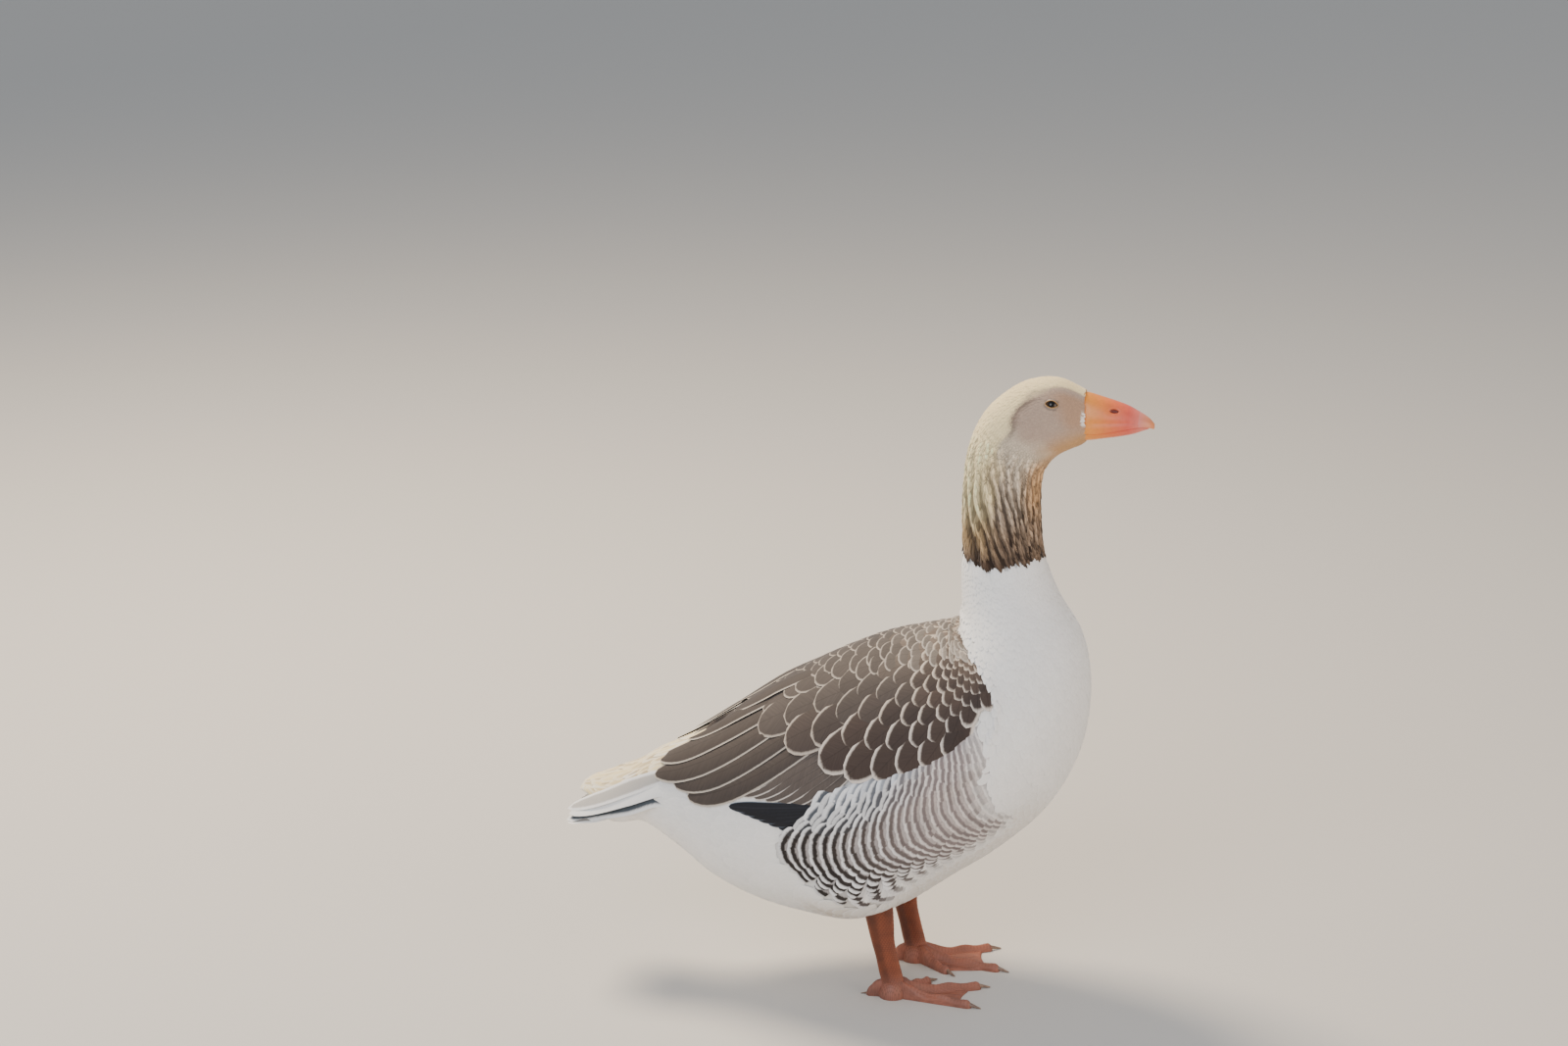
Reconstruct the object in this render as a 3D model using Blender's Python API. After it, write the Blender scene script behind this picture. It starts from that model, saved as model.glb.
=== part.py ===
"""A domestic goose of the pied greylag type, standing still, life size.

Frame: metres, +X towards the bill, +Y towards the bird's left, +Z up. The origin lies on the floor,
under the middle of the bird's bounding box. Body forms are lofts between a back line and a belly line.
"""

import math

import bmesh
import bpy
import numpy as np
from mathutils import Matrix

MM = 0.001

# Driving dimensions, in metres.
CUT = 0.0004  # the thin cut that parts one piece of the body from the next
CLEARANCE = 0.00035  # between a piece and the pocket it sits in
RING_SIDES = 24  # points round a body section
EYE_RADIUS = 0.0076
EYE_SINK = 0.0056  # the eyeball's centre below the skin
EYE_PLACE = (750, 68.5)  # where the eyes look out: mm along the body, degrees from the back
WING_HEIGHT = 0.0072  # how proud of the body the folded wing stands in its middle
WING_EDGE_HEIGHT = 0.0026
WING_SINK = 0.0022
SLIT = 0.0016  # half of the gap between the folded wings
WING_GRID = (9, 6)  # columns added between the outline's own, rows from edge to edge
PRIMARY_GRID = (5, 4)
PRIMARY_HEIGHTS = (0.0038, 0.0022)  # top of the flight feathers above the body, in the middle and at the edge
PRIMARY_LIFT = 0.0007  # their underside above the body
THIGH_CENTRE = (0.0090, 0.0694, 0.1512)  # the left thigh's feathered bulge
THIGH_REACH = (0.070, 0.051, 0.057)
WEB_THICKNESS = 0.0022
KNUCKLE_RADIUS = 0.0128
HEEL_RADIUS = 0.0140
TOE_HALF_WIDTH = 0.0046
CLAW_LENGTH = 0.0100
CLAW_LIFT = 0.0004  # the claws hang this far above the floor

# The body's form, tail to bill: name, back line (x, z), belly line (x, z), half width and how much wider
# the section is below its middle than above, all but the last in millimetres.
BODY_STATIONS = (
    ("tail_root", (-212, 231), (-226, 157), 40, 0.00),
    ("rump", (-168, 254), (-186, 136), 57, 0.00),
    ("vent", (-124, 281), (-144, 106), 80, 0.02),
    ("paunch", (-80, 309), (-96, 86), 101, 0.05),
    ("belly", (-36, 335), (-44, 75), 116, 0.08),
    ("thighs", (4, 355), (8, 71), 125, 0.08),
    ("ribs", (40, 369), (62, 94), 129, 0.06),
    ("shoulders", (70, 376), (109, 127), 129, 0.02),
    ("keel", (92, 381), (156, 160), 124, -0.02),
    ("chest", (104, 386), (203, 206), 116, -0.04),
    ("breast", (109, 394), (232, 262), 104, -0.04),
    ("crop", (110, 404), (241, 325), 87, -0.02),
    ("neck_base", (109, 418), (233, 378), 68, 0.00),
    ("neck_low", (108, 441), (208, 423), 51, 0.00),
    ("collar", (108, 470), (192, 465), 40, 0.00),
    ("neck_mid", (108, 505), (187, 505), 35, 0.00),
    ("neck_top", (109, 541), (187, 537), 33.5, 0.00),
    ("nape", (113, 573), (191, 555), 33, 0.00),
    ("throat", (124, 601), (203, 569), 32, 0.05),
    ("cheek", (145, 626), (217, 577), 31, 0.10),
    ("eyes", (174, 644), (226, 581), 29, 0.12),
    ("brow", (203, 648), (230, 584), 25, 0.16),
    ("bill_base", (230, 637), (233, 587), 19, 0.10),
)
STATION_NAMES = [row[0] for row in BODY_STATIONS]

# The folded wing's outline on the body: mm along the body from the tail root, degrees from the back.
WING_LOWER_EDGE = (
    (13, 66), (21, 75), (34, 73), (46, 71.5), (54, 80), (61, 88), (78, 87), (92, 82), (104, 75), (125, 73.5),
    (145, 77), (165, 80), (191, 84), (232, 81), (282, 82), (330, 84), (361, 79), (376, 75), (398, 75.5), (424, 80),
    (437, 71), (447, 49),
)
WING_UPPER_EDGE = (
    (13, 60), (16, 42), (22, 19), (66, 19), (86, 12.5), (144, 10), (192, 10), (340, 10), (392, 13), (420, 23),
    (438, 36), (447, 46),
)
# The left wing laps over the ridge of the back and meets the right one beside it.
LAPPED_UPPER_EDGE = (
    (13, 60), (21, 26), (34, -6), (50, -18), (66, -19), (86, -12.5), (144, -10), (192, -10), (340, -10),
    (385, -6), (415, 14), (438, 35), (447, 46),
)
PRIMARY_LOWER_EDGE = ((104, 79), (116, 85), (130, 87.5), (144, 89), (158, 90), (171, 90), (186, 87.5))
PRIMARY_UPPER_EDGE = ((104, 76.8), (125, 75.5), (145, 78.9), (165, 81.9), (186, 85.2))

# The tail's base with the coverts over and under the fan, root to tip, in millimetres: x, height of the
# middle, half thickness, half width and how far its sides droop.
TAIL_BASE = (
    (-236, 187.0, 32.0, 41, 2), (-250, 185.0, 28.0, 40, 5), (-262, 188.0, 19.0, 36, 8), (-272, 194.5, 8.5, 28, 7),
    (-281, 194.0, 4.0, 20, 4), (-289, 190.0, 1.2, 11, 1),
)
# The fan of tail feathers: x of its ridge, how far its sides lie forward, height of the ridge, droop of the
# sides, half width and thickness.
TAIL_FAN = (
    (-237, 0, 200.5, 27.0, 37, 3.0), (-250, -2, 194.5, 24.0, 42, 2.8), (-262, -2, 188.0, 19.5, 46, 2.4),
    (-276, -1, 180.0, 12.0, 49, 2.0), (-289, 1, 172.0, 6.0, 50, 1.6), (-298, 2, 166.5, 2.0, 48, 1.2),
)
TAIL_TILT = 7  # the root face leans with the trunk's, top forward

# The bill, base to tip, in millimetres: x, top, bottom and half width.
UPPER_BILL = (
    (232.6, 634.6, 596.3, 17.6), (241, 632.4, 596.6, 17.6), (251, 629.6, 598.0, 16.8), (262, 626.4, 600.0, 15.8),
    (273, 622.4, 602.2, 14.3), (283, 617.0, 603.9, 12.2),
)
NAIL = ((283.4, 616.8, 603.9, 12.1), (289, 613.6, 603.6, 9.6), (294, 610.0, 602.4, 6.6), (298, 605.6, 600.6, 2.8))
LOWER_BILL = (
    (234.2, 595.9, 586.6, 14.6), (245, 596.6, 588.4, 14.0), (256, 598.3, 590.2, 13.0), (268, 600.6, 592.3, 11.4),
    (280, 602.8, 595.4, 9.2), (288, 603.0, 598.6, 6.6), (292.5, 602.0, 600.2, 3.2),
)

# The shank, bottom to top, in millimetres from the foot's centre: height, x forward, half length, half width.
SHANK_STATIONS = (
    (17.0, 0.0, 12.0, 7.4), (25, -2.0, 11.9, 6.7), (42, -6.0, 11.6, 6.2), (60, -10.4, 12.2, 6.5),
    (78, -13.0, 14.0, 7.6), (92, -15.0, 15.2, 8.4), (106, -16.4, 14.6, 8.6),
)
# Each foot's centre on the floor (x, y) in millimetres, its middle toe's bearing and its outer toe's spread.
FEET = {"left": (56.0, 54.0, -11.0, 39.0), "right": (49.0, -50.0, 23.0, 34.0)}
# Toes from the foot's centre: how far the bearing turns inward from the middle toe's, length in metres.
TOES = {"inner": (30.0, 0.054), "middle": (0.0, 0.0940), "outer": (None, 0.0860)}
HIND_TOE = (158.0, 0.0270)  # turned inward from the middle toe's bearing

# Real colours (linear RGB), roughness and metallic value of each finish.
FINISHES = {
    "white_plumage": ((0.80, 0.79, 0.76), 0.85, 0.0),
    "brown_plumage": ((0.16, 0.12, 0.095), 0.85, 0.0),
    "head_plumage": ((0.50, 0.43, 0.33), 0.85, 0.0),
    "black_plumage": ((0.02, 0.022, 0.028), 0.7, 0.0),
    "bill_horn": ((0.82, 0.30, 0.12), 0.45, 0.0),
    "leg_skin": ((0.48, 0.15, 0.06), 0.6, 0.0),
    "claw_horn": ((0.32, 0.24, 0.18), 0.45, 0.0),
    "eye": ((0.015, 0.010, 0.008), 0.05, 0.0),
}


def clear_scene():
    for old in list(bpy.data.objects):
        bpy.data.objects.remove(old, do_unlink=True)


def material(name):
    found = bpy.data.materials.get(name)
    if found:
        return found
    colour, roughness, metallic = FINISHES[name]
    made = bpy.data.materials.new(name)
    made.use_nodes = True
    shader = made.node_tree.nodes["Principled BSDF"]
    shader.inputs["Base Color"].default_value = (*colour, 1.0)
    shader.inputs["Roughness"].default_value = roughness
    shader.inputs["Metallic"].default_value = metallic
    made.diffuse_color = (*colour, 1.0)
    return made


def smooth_curve(knots, values, places):
    """Values at places along a smooth curve through the rows of values, which stand at knots."""
    knots = np.asarray(knots, float)
    values = np.asarray(values, float).reshape(len(knots), -1)
    places = np.clip(np.asarray(places, float), knots[0], knots[-1])
    slopes = np.gradient(values, knots, axis=0)
    left = np.clip(np.searchsorted(knots, places, side="right") - 1, 0, len(knots) - 2)
    span = (knots[left + 1] - knots[left])[:, None]
    u = (places - knots[left])[:, None] / span
    return (
        (2 * u**3 - 3 * u**2 + 1) * values[left]
        + (u**3 - 2 * u**2 + u) * span * slopes[left]
        + (3 * u**2 - 2 * u**3) * values[left + 1]
        + (u**3 - u**2) * span * slopes[left + 1]
    )


def body_table():
    """The stations' distances along the body and their sizes, in metres."""
    sizes = np.array([(*back, *belly, width, low / MM) for _, back, belly, width, low in BODY_STATIONS]) * MM
    middles = (sizes[:, 0:2] + sizes[:, 2:4]) / 2
    steps = np.linalg.norm(np.diff(middles, axis=0), axis=1)
    return np.concatenate([[0.0], np.cumsum(steps)]), sizes


BODY_KNOTS, BODY_SIZES = body_table()


def along(station, beyond=0.0):
    """The distance along the body of a named station, plus beyond."""
    return float(BODY_KNOTS[STATION_NAMES.index(station)]) + beyond


def body_point(t, theta):
    """Points of the body's outer form: t along it from the tail, theta round it from the back (0) by the left side."""
    t, theta = np.broadcast_arrays(np.asarray(t, float), np.asarray(theta, float))
    sizes = smooth_curve(BODY_KNOTS, BODY_SIZES, t.ravel()).reshape(*t.shape, 6)
    back, belly, width, low = sizes[..., 0:2], sizes[..., 2:4], sizes[..., 4], sizes[..., 5]
    up, side = np.cos(theta), np.sin(theta)
    middle, reach = (back + belly) / 2, (back - belly) / 2
    flat = middle + reach * up[..., None]
    return np.stack([flat[..., 0], width * side * (1 - low * up), flat[..., 1]], -1)


def body_normal(t, theta, step=1e-4):
    """Outward unit normals of the body's outer form."""
    t, theta = np.broadcast_arrays(np.asarray(t, float), np.asarray(theta, float))
    ahead = body_point(t + step, theta) - body_point(t - step, theta)
    around = body_point(t, theta + step) - body_point(t, theta - step)
    out = np.cross(ahead, around)
    return out / np.linalg.norm(out, axis=-1, keepdims=True)


def ring_faces(rings, sides):
    """Quads between neighbouring closed rings, and a flat cap at each end."""
    faces = []
    for ring in range(rings - 1):
        for side in range(sides):
            after = (side + 1) % sides
            low, high = ring * sides, (ring + 1) * sides
            faces.append((low + side, low + after, high + after, high + side))
    faces.append(tuple(reversed(range(sides))))
    faces.append(tuple(range((rings - 1) * sides, rings * sides)))
    return faces


def finish_object(name, shape, finish, collection, place=(0.0, 0.0, 0.0), angle=40.0):
    """An object at a place from a bmesh, its faces all pointing out."""
    bmesh.ops.recalc_face_normals(shape, faces=shape.faces)
    mesh = bpy.data.meshes.new(name)
    shape.to_mesh(mesh)
    shape.free()
    mesh.materials.append(material(finish))
    mesh.shade_smooth()
    mesh.set_sharp_from_angle(angle=math.radians(angle))
    made = bpy.data.objects.new(name, mesh)
    made.location = place
    collection.objects.link(made)
    return made


def add_object(name, points, faces, finish, collection, place=(0.0, 0.0, 0.0)):
    """An object at a place from points and faces."""
    mesh = bpy.data.meshes.new(name + "_faces")
    mesh.from_pydata([tuple(p) for p in np.asarray(points).reshape(-1, 3)], [], faces)
    shape = bmesh.new()
    shape.from_mesh(mesh)
    bpy.data.meshes.remove(mesh)
    return finish_object(name, shape, finish, collection, place)


def loft(name, rings, finish, collection, place=(0.0, 0.0, 0.0)):
    """A closed solid through an array of rings, shaped (rings, sides, 3)."""
    rings = np.asarray(rings)
    return add_object(name, rings, ring_faces(*rings.shape[:2]), finish, collection, place)


def body_piece(name, start, end, count, finish, collection):
    """The part of the body between two distances along it, with a flat face at each end."""
    t = np.linspace(start, end, count)[:, None]
    theta = np.linspace(0, 2 * math.pi, RING_SIDES, endpoint=False)[None, :]
    return loft(name, body_point(t, theta), finish, collection)


def sheet_solid(name, outer, inner, finish, collection):
    """A closed solid between two grids of points that share an outline, shaped (columns, rows, 3)."""
    columns, rows = outer.shape[:2]
    faces = []
    for side, grid in enumerate((outer, inner)):
        base = side * columns * rows
        for i in range(columns - 1):
            for j in range(rows - 1):
                corner = base + i * rows + j
                faces.append((corner, corner + rows, corner + rows + 1))
                faces.append((corner, corner + rows + 1, corner + 1))
    rim = [i * rows for i in range(columns)] + [(columns - 1) * rows + j for j in range(1, rows)]
    rim += [i * rows + rows - 1 for i in range(columns - 2, -1, -1)] + [j for j in range(rows - 2, 0, -1)]
    under = columns * rows
    for here, after in zip(rim, rim[1:] + rim[:1]):
        faces.append((here, after, after + under))
        faces.append((here, after + under, here + under))
    return add_object(name, np.concatenate([outer.reshape(-1, 3), inner.reshape(-1, 3)]), faces, finish, collection)


def patch(name, edges, side, heights, sink, grid, finish, collection, grow=0.0):
    """A sheet of feathers lying on the body between two edges; grow widens it all round for its pocket."""
    upper, lower = (np.array(edge, float) for edge in edges)
    start, end = lower[0, 0] * MM, lower[-1, 0] * MM
    t = np.unique(np.concatenate([lower[1:-1, 0] * MM, np.linspace(start, end, grid[0])]).round(4))
    t = t[np.concatenate([[True], np.diff(t) > 0.004])]
    v = np.linspace(0, 1, grid[1])[None, :]
    top = np.interp(t, upper[:, 0] * MM, upper[:, 1])
    bottom = np.interp(t, lower[:, 0] * MM, lower[:, 1])
    turn = math.degrees(1) * grow / 0.09
    top = top - turn * (1 + 3.5 * np.abs(np.gradient(top, t / MM)))
    bottom = bottom + turn * (1 + 3.5 * np.abs(np.gradient(bottom, t / MM)))
    t = t.copy()
    t[0] -= 1.5 * grow
    t[-1] += 1.5 * grow
    theta = np.radians(top[:, None] + (bottom - top)[:, None] * v) * side
    t = t[:, None]
    u = np.clip((t - start) / (end - start), 0, 1)
    middle, edge = heights
    swell = np.clip(np.minimum(u / 0.3, (1 - u) / 0.16), 0, 1) ** 0.7 * (1 - v**2.6)
    height = edge + (middle - edge) * swell + 6 * grow
    base, out = body_point(t, theta), body_normal(t, theta)
    return sheet_solid(name, base + out * height[..., None], base - out * (sink + 2.5 * grow), finish, collection)


def add_wing(side, collection, cutters):
    """The folded wing of one side and the flight feathers that show under it; returns the wing's pocket."""
    name = "left" if side > 0 else "right"
    gap = math.degrees(SLIT / 0.11)
    ridge = [(t, angle + gap) for t, angle in (LAPPED_UPPER_EDGE if side > 0 else WING_UPPER_EDGE)]
    edges, heights = (ridge, WING_LOWER_EDGE), (WING_HEIGHT, WING_EDGE_HEIGHT)
    patch(f"wing_{name}", edges, side, heights, WING_SINK, WING_GRID, "brown_plumage", collection)
    patch(f"primaries_{name}", (PRIMARY_UPPER_EDGE, PRIMARY_LOWER_EDGE), side, PRIMARY_HEIGHTS, -PRIMARY_LIFT,
          PRIMARY_GRID, "black_plumage", collection)
    return patch(f"wing_pocket_{name}", edges, side, heights, WING_SINK, WING_GRID, "brown_plumage", cutters,
                 CLEARANCE)


def ellipsoid(name, centre, reach, finish, collection, grow=0.0, rings=9, sides=16):
    """A ball stretched to reach along each axis, grown all round by grow."""
    shape = bmesh.new()
    bmesh.ops.create_uvsphere(shape, u_segments=sides, v_segments=rings, radius=1.0)
    bmesh.ops.scale(shape, vec=[value + grow for value in reach], verts=shape.verts)
    return finish_object(name, shape, finish, collection, centre)


def add_eye(side, collection, cutters):
    """An eyeball sunk in the side of the head, and the cutter for its socket."""
    name = "left" if side > 0 else "right"
    t, theta = EYE_PLACE[0] * MM, side * math.radians(EYE_PLACE[1])
    centre = body_point(t, theta) - body_normal(t, theta) * EYE_SINK
    reach = (EYE_RADIUS,) * 3
    ellipsoid(f"eye_{name}", centre, reach, "eye", collection, rings=8, sides=14)
    return ellipsoid(f"eye_socket_{name}", centre, reach, "eye", cutters, CLEARANCE, rings=8, sides=14)


def tail_base_ring(row, theta):
    """One ring of the tail's base, an arch closed underneath."""
    x, z, thick, width, droop = (value * MM for value in row)
    side, up = np.sin(theta), np.cos(theta)
    lean = TAIL_TILT * MM * up * (thick / (37 * MM)) ** 2
    return np.stack([x + lean, width * side, z + thick * up - droop * np.abs(side) ** 1.7], -1)


def tail_fan(name, collection, grow=0.0):
    """The sheet of tail feathers, arched at its root and flat at its rounded end."""
    rows = np.array(TAIL_FAN, float) * MM
    fine = smooth_curve(rows[:, 0] * -1, rows, np.linspace(-rows[0, 0], -rows[-1, 0], 7))
    across = np.linspace(-1, 1, 9)[None, :]
    x, forward, ridge, droop, width, thick = (fine[:, k, None] for k in range(6))
    reach = across * (1 + grow / width)
    shape = np.abs(reach)
    beyond = np.linspace(1, -1, len(fine))[:, None] * grow
    flat = [x + forward * shape**2 + beyond, width * reach]
    over = np.stack(flat + [ridge - droop * shape**1.7 + grow], -1)
    under = np.stack(flat + [ridge - droop * shape**1.7 - thick - grow], -1)
    return sheet_solid(name, over, under, "white_plumage", collection)


def add_tail(collection, cutters):
    """The tail: a base as deep as the rump where it starts, and the fan in its slot."""
    theta = np.linspace(0, 2 * math.pi, RING_SIDES, endpoint=False)
    root = body_point(0.0, theta) + np.array([-CUT, 0, 0])
    stations = np.array(TAIL_BASE, float)
    fine = smooth_curve(np.arange(len(stations)), stations, np.linspace(0, len(stations) - 1, 7))
    rings = [root] + [tail_base_ring(row, theta) for row in fine]
    base = loft("tail_base", rings[::-1], "white_plumage", collection)
    tail_fan("tail_fan", collection)
    cut(base, tail_fan("tail_slot", cutters, CLEARANCE))


def bill_half(name, rows, collection, upper):
    """One mandible or the nail: domed on one side, flat where the halves meet."""
    rows = np.array(rows, float) * MM
    fine = smooth_curve(rows[:, 0], rows, np.linspace(rows[0, 0], rows[-1, 0], max(5, len(rows) + 2)))
    theta = np.linspace(-math.pi / 2, math.pi / 2, 13)
    rings = []
    for x, top, bottom, width in fine:
        rise = np.cos(theta) ** 0.85 * (top - bottom)
        dome = np.stack([np.full_like(theta, x), width * np.sin(theta), bottom + rise], -1)
        if not upper:
            dome[:, 2] = top - rise
        flat = np.linspace(dome[-1], dome[0], 5)[1:-1]
        rings.append(np.concatenate([dome, flat]))
    return loft(name, rings, "bill_horn" if name != "bill_nail" else "claw_horn", collection)


def shank(name, foot, collection, grow=0.0):
    """A shank standing on its foot's centre."""
    stations = np.array(SHANK_STATIONS, float) * MM
    heights = np.linspace(stations[0, 0], stations[-1, 0], 7)
    fine = smooth_curve(stations[:, 0], stations, heights)
    theta = np.linspace(0, 2 * math.pi, 14, endpoint=False)[None, :]
    z, x, length, width = (fine[:, k, None] for k in range(4))
    ring = np.stack([x + (length + grow) * np.cos(theta), (width + grow) * np.sin(theta), z + 0 * theta], -1)
    ring[-1, :, 2] += grow
    return loft(name, ring, "leg_skin", collection, (foot[0] * MM, foot[1] * MM, 0.0))


def toe_bearings(side, foot):
    """The bearing and length of each toe, bearings in degrees anticlockwise seen from above."""
    spread = {"inner": TOES["inner"][0], "middle": 0.0, "outer": -foot[3]}
    front = [(foot[2] - side * spread[toe], TOES[toe][1]) for toe in ("inner", "middle", "outer")]
    return front + [(foot[2] - side * HIND_TOE[0], HIND_TOE[1])]


def foot_reach(angle, toes):
    """How far the foot's outline lies from its centre at a bearing in degrees."""
    reach = HEEL_RADIUS
    for bearing, length in toes:
        off = abs((angle - bearing + 180) % 360 - 180)
        if off < 80:
            beside = TOE_HALF_WIDTH / max(math.sin(math.radians(off)), 1e-4)
            reach = max(reach, min(beside, length - 0.0012 * (off / 1.4) ** 2 if off < 3 else beside, length))
    for (one, long_one), (two, long_two) in zip(toes[:2], toes[1:3]):
        low, high = min(one, two), max(one, two)
        if low < angle < high:
            a, b = (long_one, long_two) if one < two else (long_two, long_one)
            share = (angle - low) / (high - low)
            edge = (a - 0.011) * (1 - share) + (b - 0.011) * share
            chord = math.cos(math.radians(high - low) / 2) / math.cos(math.radians((share - 0.5) * (high - low)))
            reach = max(reach, edge * (0.35 + 0.65 * chord) - 0.006 * math.sin(math.pi * share))
    return reach


def foot_height(radius, angle, toes):
    """The foot's height above the floor: the knuckle, a ridge along each toe, and thin web between."""
    height = WEB_THICKNESS
    for bearing, length in toes:
        off = math.radians(abs((angle - bearing + 180) % 360 - 180))
        aside = radius * math.sin(min(off, math.pi / 2)) + (radius if off > math.pi / 2 else 0.0)
        ridge = 0.0098 - 0.0042 * radius / length
        height = max(height, ridge * math.exp(-((aside / 0.0052) ** 2)))
    knuckle = SHANK_STATIONS[0][0] * MM - CLEARANCE
    fade = min(1.0, max(0.0, (0.036 - radius) / (0.036 - KNUCKLE_RADIUS)))
    return height + (knuckle - height) * (fade * fade * (3 - 2 * fade)) ** 1.6


def add_foot(side, collection):
    """One foot: three toes and their webs, the hind toe, a flat sole and four claws."""
    name = "left" if side > 0 else "right"
    foot = FEET[name]
    place = np.array([foot[0], foot[1], 0.0]) * MM
    toes = toe_bearings(side, foot)
    knuckle = SHANK_STATIONS[0][0] * MM - CLEARANCE
    angles = [b + d for b, _ in toes[:3] for d in (-20, -9, -4.5, -2, 0, 2, 4.5, 9, 20)]
    angles += [toes[3][0] + d for d in (-50, -28, -14, -7, 0, 7, 14, 28, 50)]
    angles += [foot[2] + d for d in (-100, -75, 75, 100)]
    turned = sorted({round((angle - foot[2]) % 360, 2) for angle in angles})
    turned = [angle for k, angle in enumerate(turned) if k == 0 or angle - turned[k - 1] > 0.9]
    bearings = [angle + foot[2] for angle in turned]
    count = len(bearings)
    shares = (0.0, 0.09, 0.24, 0.48, 0.76, 1.0)
    points = [(0.0, 0.0, knuckle)]
    for share in shares:
        for bearing in bearings:
            signed = (bearing - foot[2] + 180) % 360 - 180 + foot[2]
            radius = KNUCKLE_RADIUS + (foot_reach(signed, toes) - KNUCKLE_RADIUS) * share
            turn = math.radians(bearing)
            height = foot_height(radius, bearing, toes)
            points.append((radius * math.cos(turn), radius * math.sin(turn), height))
    points += [(x, y, 0.0) for x, y, _ in points[-count:]]
    faces = [(0, 1 + k, 1 + (k + 1) % count) for k in range(count)]
    for ring in range(len(shares)):
        low, high = 1 + ring * count, 1 + (ring + 1) * count
        for k in range(count):
            after = (k + 1) % count
            faces.append((low + k, high + k, high + after, low + after))
    faces.append(tuple(1 + len(shares) * count + k for k in reversed(range(count))))
    add_object(f"foot_{name}", points, faces, "leg_skin", collection, place)
    for (bearing, length), toe in zip(toes, ("inner", "middle", "outer", "hind")):
        size = CLAW_LENGTH * (0.6 if toe == "hind" else 1.0)
        add_claw(f"claw_{toe}_{name}", place, bearing, length + 0.0004, size, collection)


def add_claw(name, place, bearing, start, length, collection):
    """A blunt cone along a bearing, its point down to just above the floor."""
    shape = bmesh.new()
    thick = 0.28 * length
    bmesh.ops.create_cone(shape, cap_ends=True, segments=8, radius1=thick, radius2=thick * 0.22, depth=length)
    bmesh.ops.rotate(shape, matrix=Matrix.Rotation(math.radians(90), 3, "Y"), verts=shape.verts)
    for vertex in shape.verts:
        out = vertex.co.x / length + 0.5
        vertex.co.z += (1 - out) * thick * 0.78
    lift = CLAW_LIFT + thick * 0.22
    made = finish_object(name, shape, "claw_horn", collection)
    forward = start + length / 2
    turn = math.radians(bearing)
    made.location = (place[0] + forward * math.cos(turn), place[1] + forward * math.sin(turn), lift)
    made.rotation_euler = (0.0, 0.0, turn)
    return made


def cut(target, cutter):
    """Takes the cutter's form out of the target with a live Boolean."""
    taken = target.modifiers.new(f"less_{cutter.name}", "BOOLEAN")
    taken.operation = "DIFFERENCE"
    taken.solver = "EXACT"
    taken.object = cutter
    cutter.hide_render = True
    cutter.display_type = "WIRE"


def build():
    clear_scene()
    goose = bpy.data.collections.new("domestic_goose")
    cutters = bpy.data.collections.new("cutters")
    bpy.context.scene.collection.children.link(goose)
    bpy.context.scene.collection.children.link(cutters)
    cutters.hide_render = True
    trunk = body_piece("trunk", along("tail_root"), along("neck_base") - CUT, 19, "white_plumage", goose)
    body_piece("neck_lower", along("neck_base"), along("collar") - CUT, 5, "white_plumage", goose)
    body_piece("neck_upper", along("collar"), along("nape") - CUT, 6, "brown_plumage", goose)
    head = body_piece("head", along("nape"), along("bill_base"), 12, "head_plumage", goose)
    add_tail(goose, cutters)
    bill_half("bill_upper", UPPER_BILL, goose, True)
    bill_half("bill_nail", NAIL, goose, True)
    bill_half("bill_lower", LOWER_BILL, goose, False)
    for side, name in ((1, "left"), (-1, "right")):
        cut(trunk, add_wing(side, goose, cutters))
        cut(head, add_eye(side, goose, cutters))
        centre = (THIGH_CENTRE[0], side * THIGH_CENTRE[1], THIGH_CENTRE[2])
        thigh = ellipsoid(f"thigh_{name}", centre, THIGH_REACH, "white_plumage", goose)
        cut(trunk, ellipsoid(f"thigh_pocket_{name}", centre, THIGH_REACH, "white_plumage", cutters, CLEARANCE))
        shank(f"shank_{name}", FEET[name], goose)
        socket = shank(f"shank_socket_{name}", FEET[name], cutters, CLEARANCE)
        cut(thigh, socket)
        cut(trunk, socket)
        add_foot(side, goose)


build()
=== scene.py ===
# A pied domestic goose of the greylag kind, standing still, life size.
# Lengths are in millimetres until they go into a mesh. A place on the bird is t, the distance along
# the body from the root of the tail, and an angle round it from the back, + to the bird's left.
import math

import bpy
import numpy as np
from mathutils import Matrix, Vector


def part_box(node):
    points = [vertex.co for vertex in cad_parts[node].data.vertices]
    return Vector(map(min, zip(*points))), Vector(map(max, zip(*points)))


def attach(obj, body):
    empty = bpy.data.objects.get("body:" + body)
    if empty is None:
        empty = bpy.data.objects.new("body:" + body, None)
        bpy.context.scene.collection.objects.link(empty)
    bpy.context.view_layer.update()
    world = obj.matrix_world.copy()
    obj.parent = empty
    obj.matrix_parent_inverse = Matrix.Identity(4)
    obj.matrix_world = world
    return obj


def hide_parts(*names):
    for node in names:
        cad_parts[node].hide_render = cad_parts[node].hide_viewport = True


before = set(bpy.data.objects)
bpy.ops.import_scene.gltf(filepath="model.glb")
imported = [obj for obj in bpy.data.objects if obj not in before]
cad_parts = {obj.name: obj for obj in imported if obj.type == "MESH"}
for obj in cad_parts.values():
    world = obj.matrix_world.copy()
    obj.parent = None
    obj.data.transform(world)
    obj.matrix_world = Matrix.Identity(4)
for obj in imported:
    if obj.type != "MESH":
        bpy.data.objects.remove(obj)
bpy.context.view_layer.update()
random = np.random.default_rng(11)
sides = (("left", 1.0), ("right", -1.0))
print("frame loaded")


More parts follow.
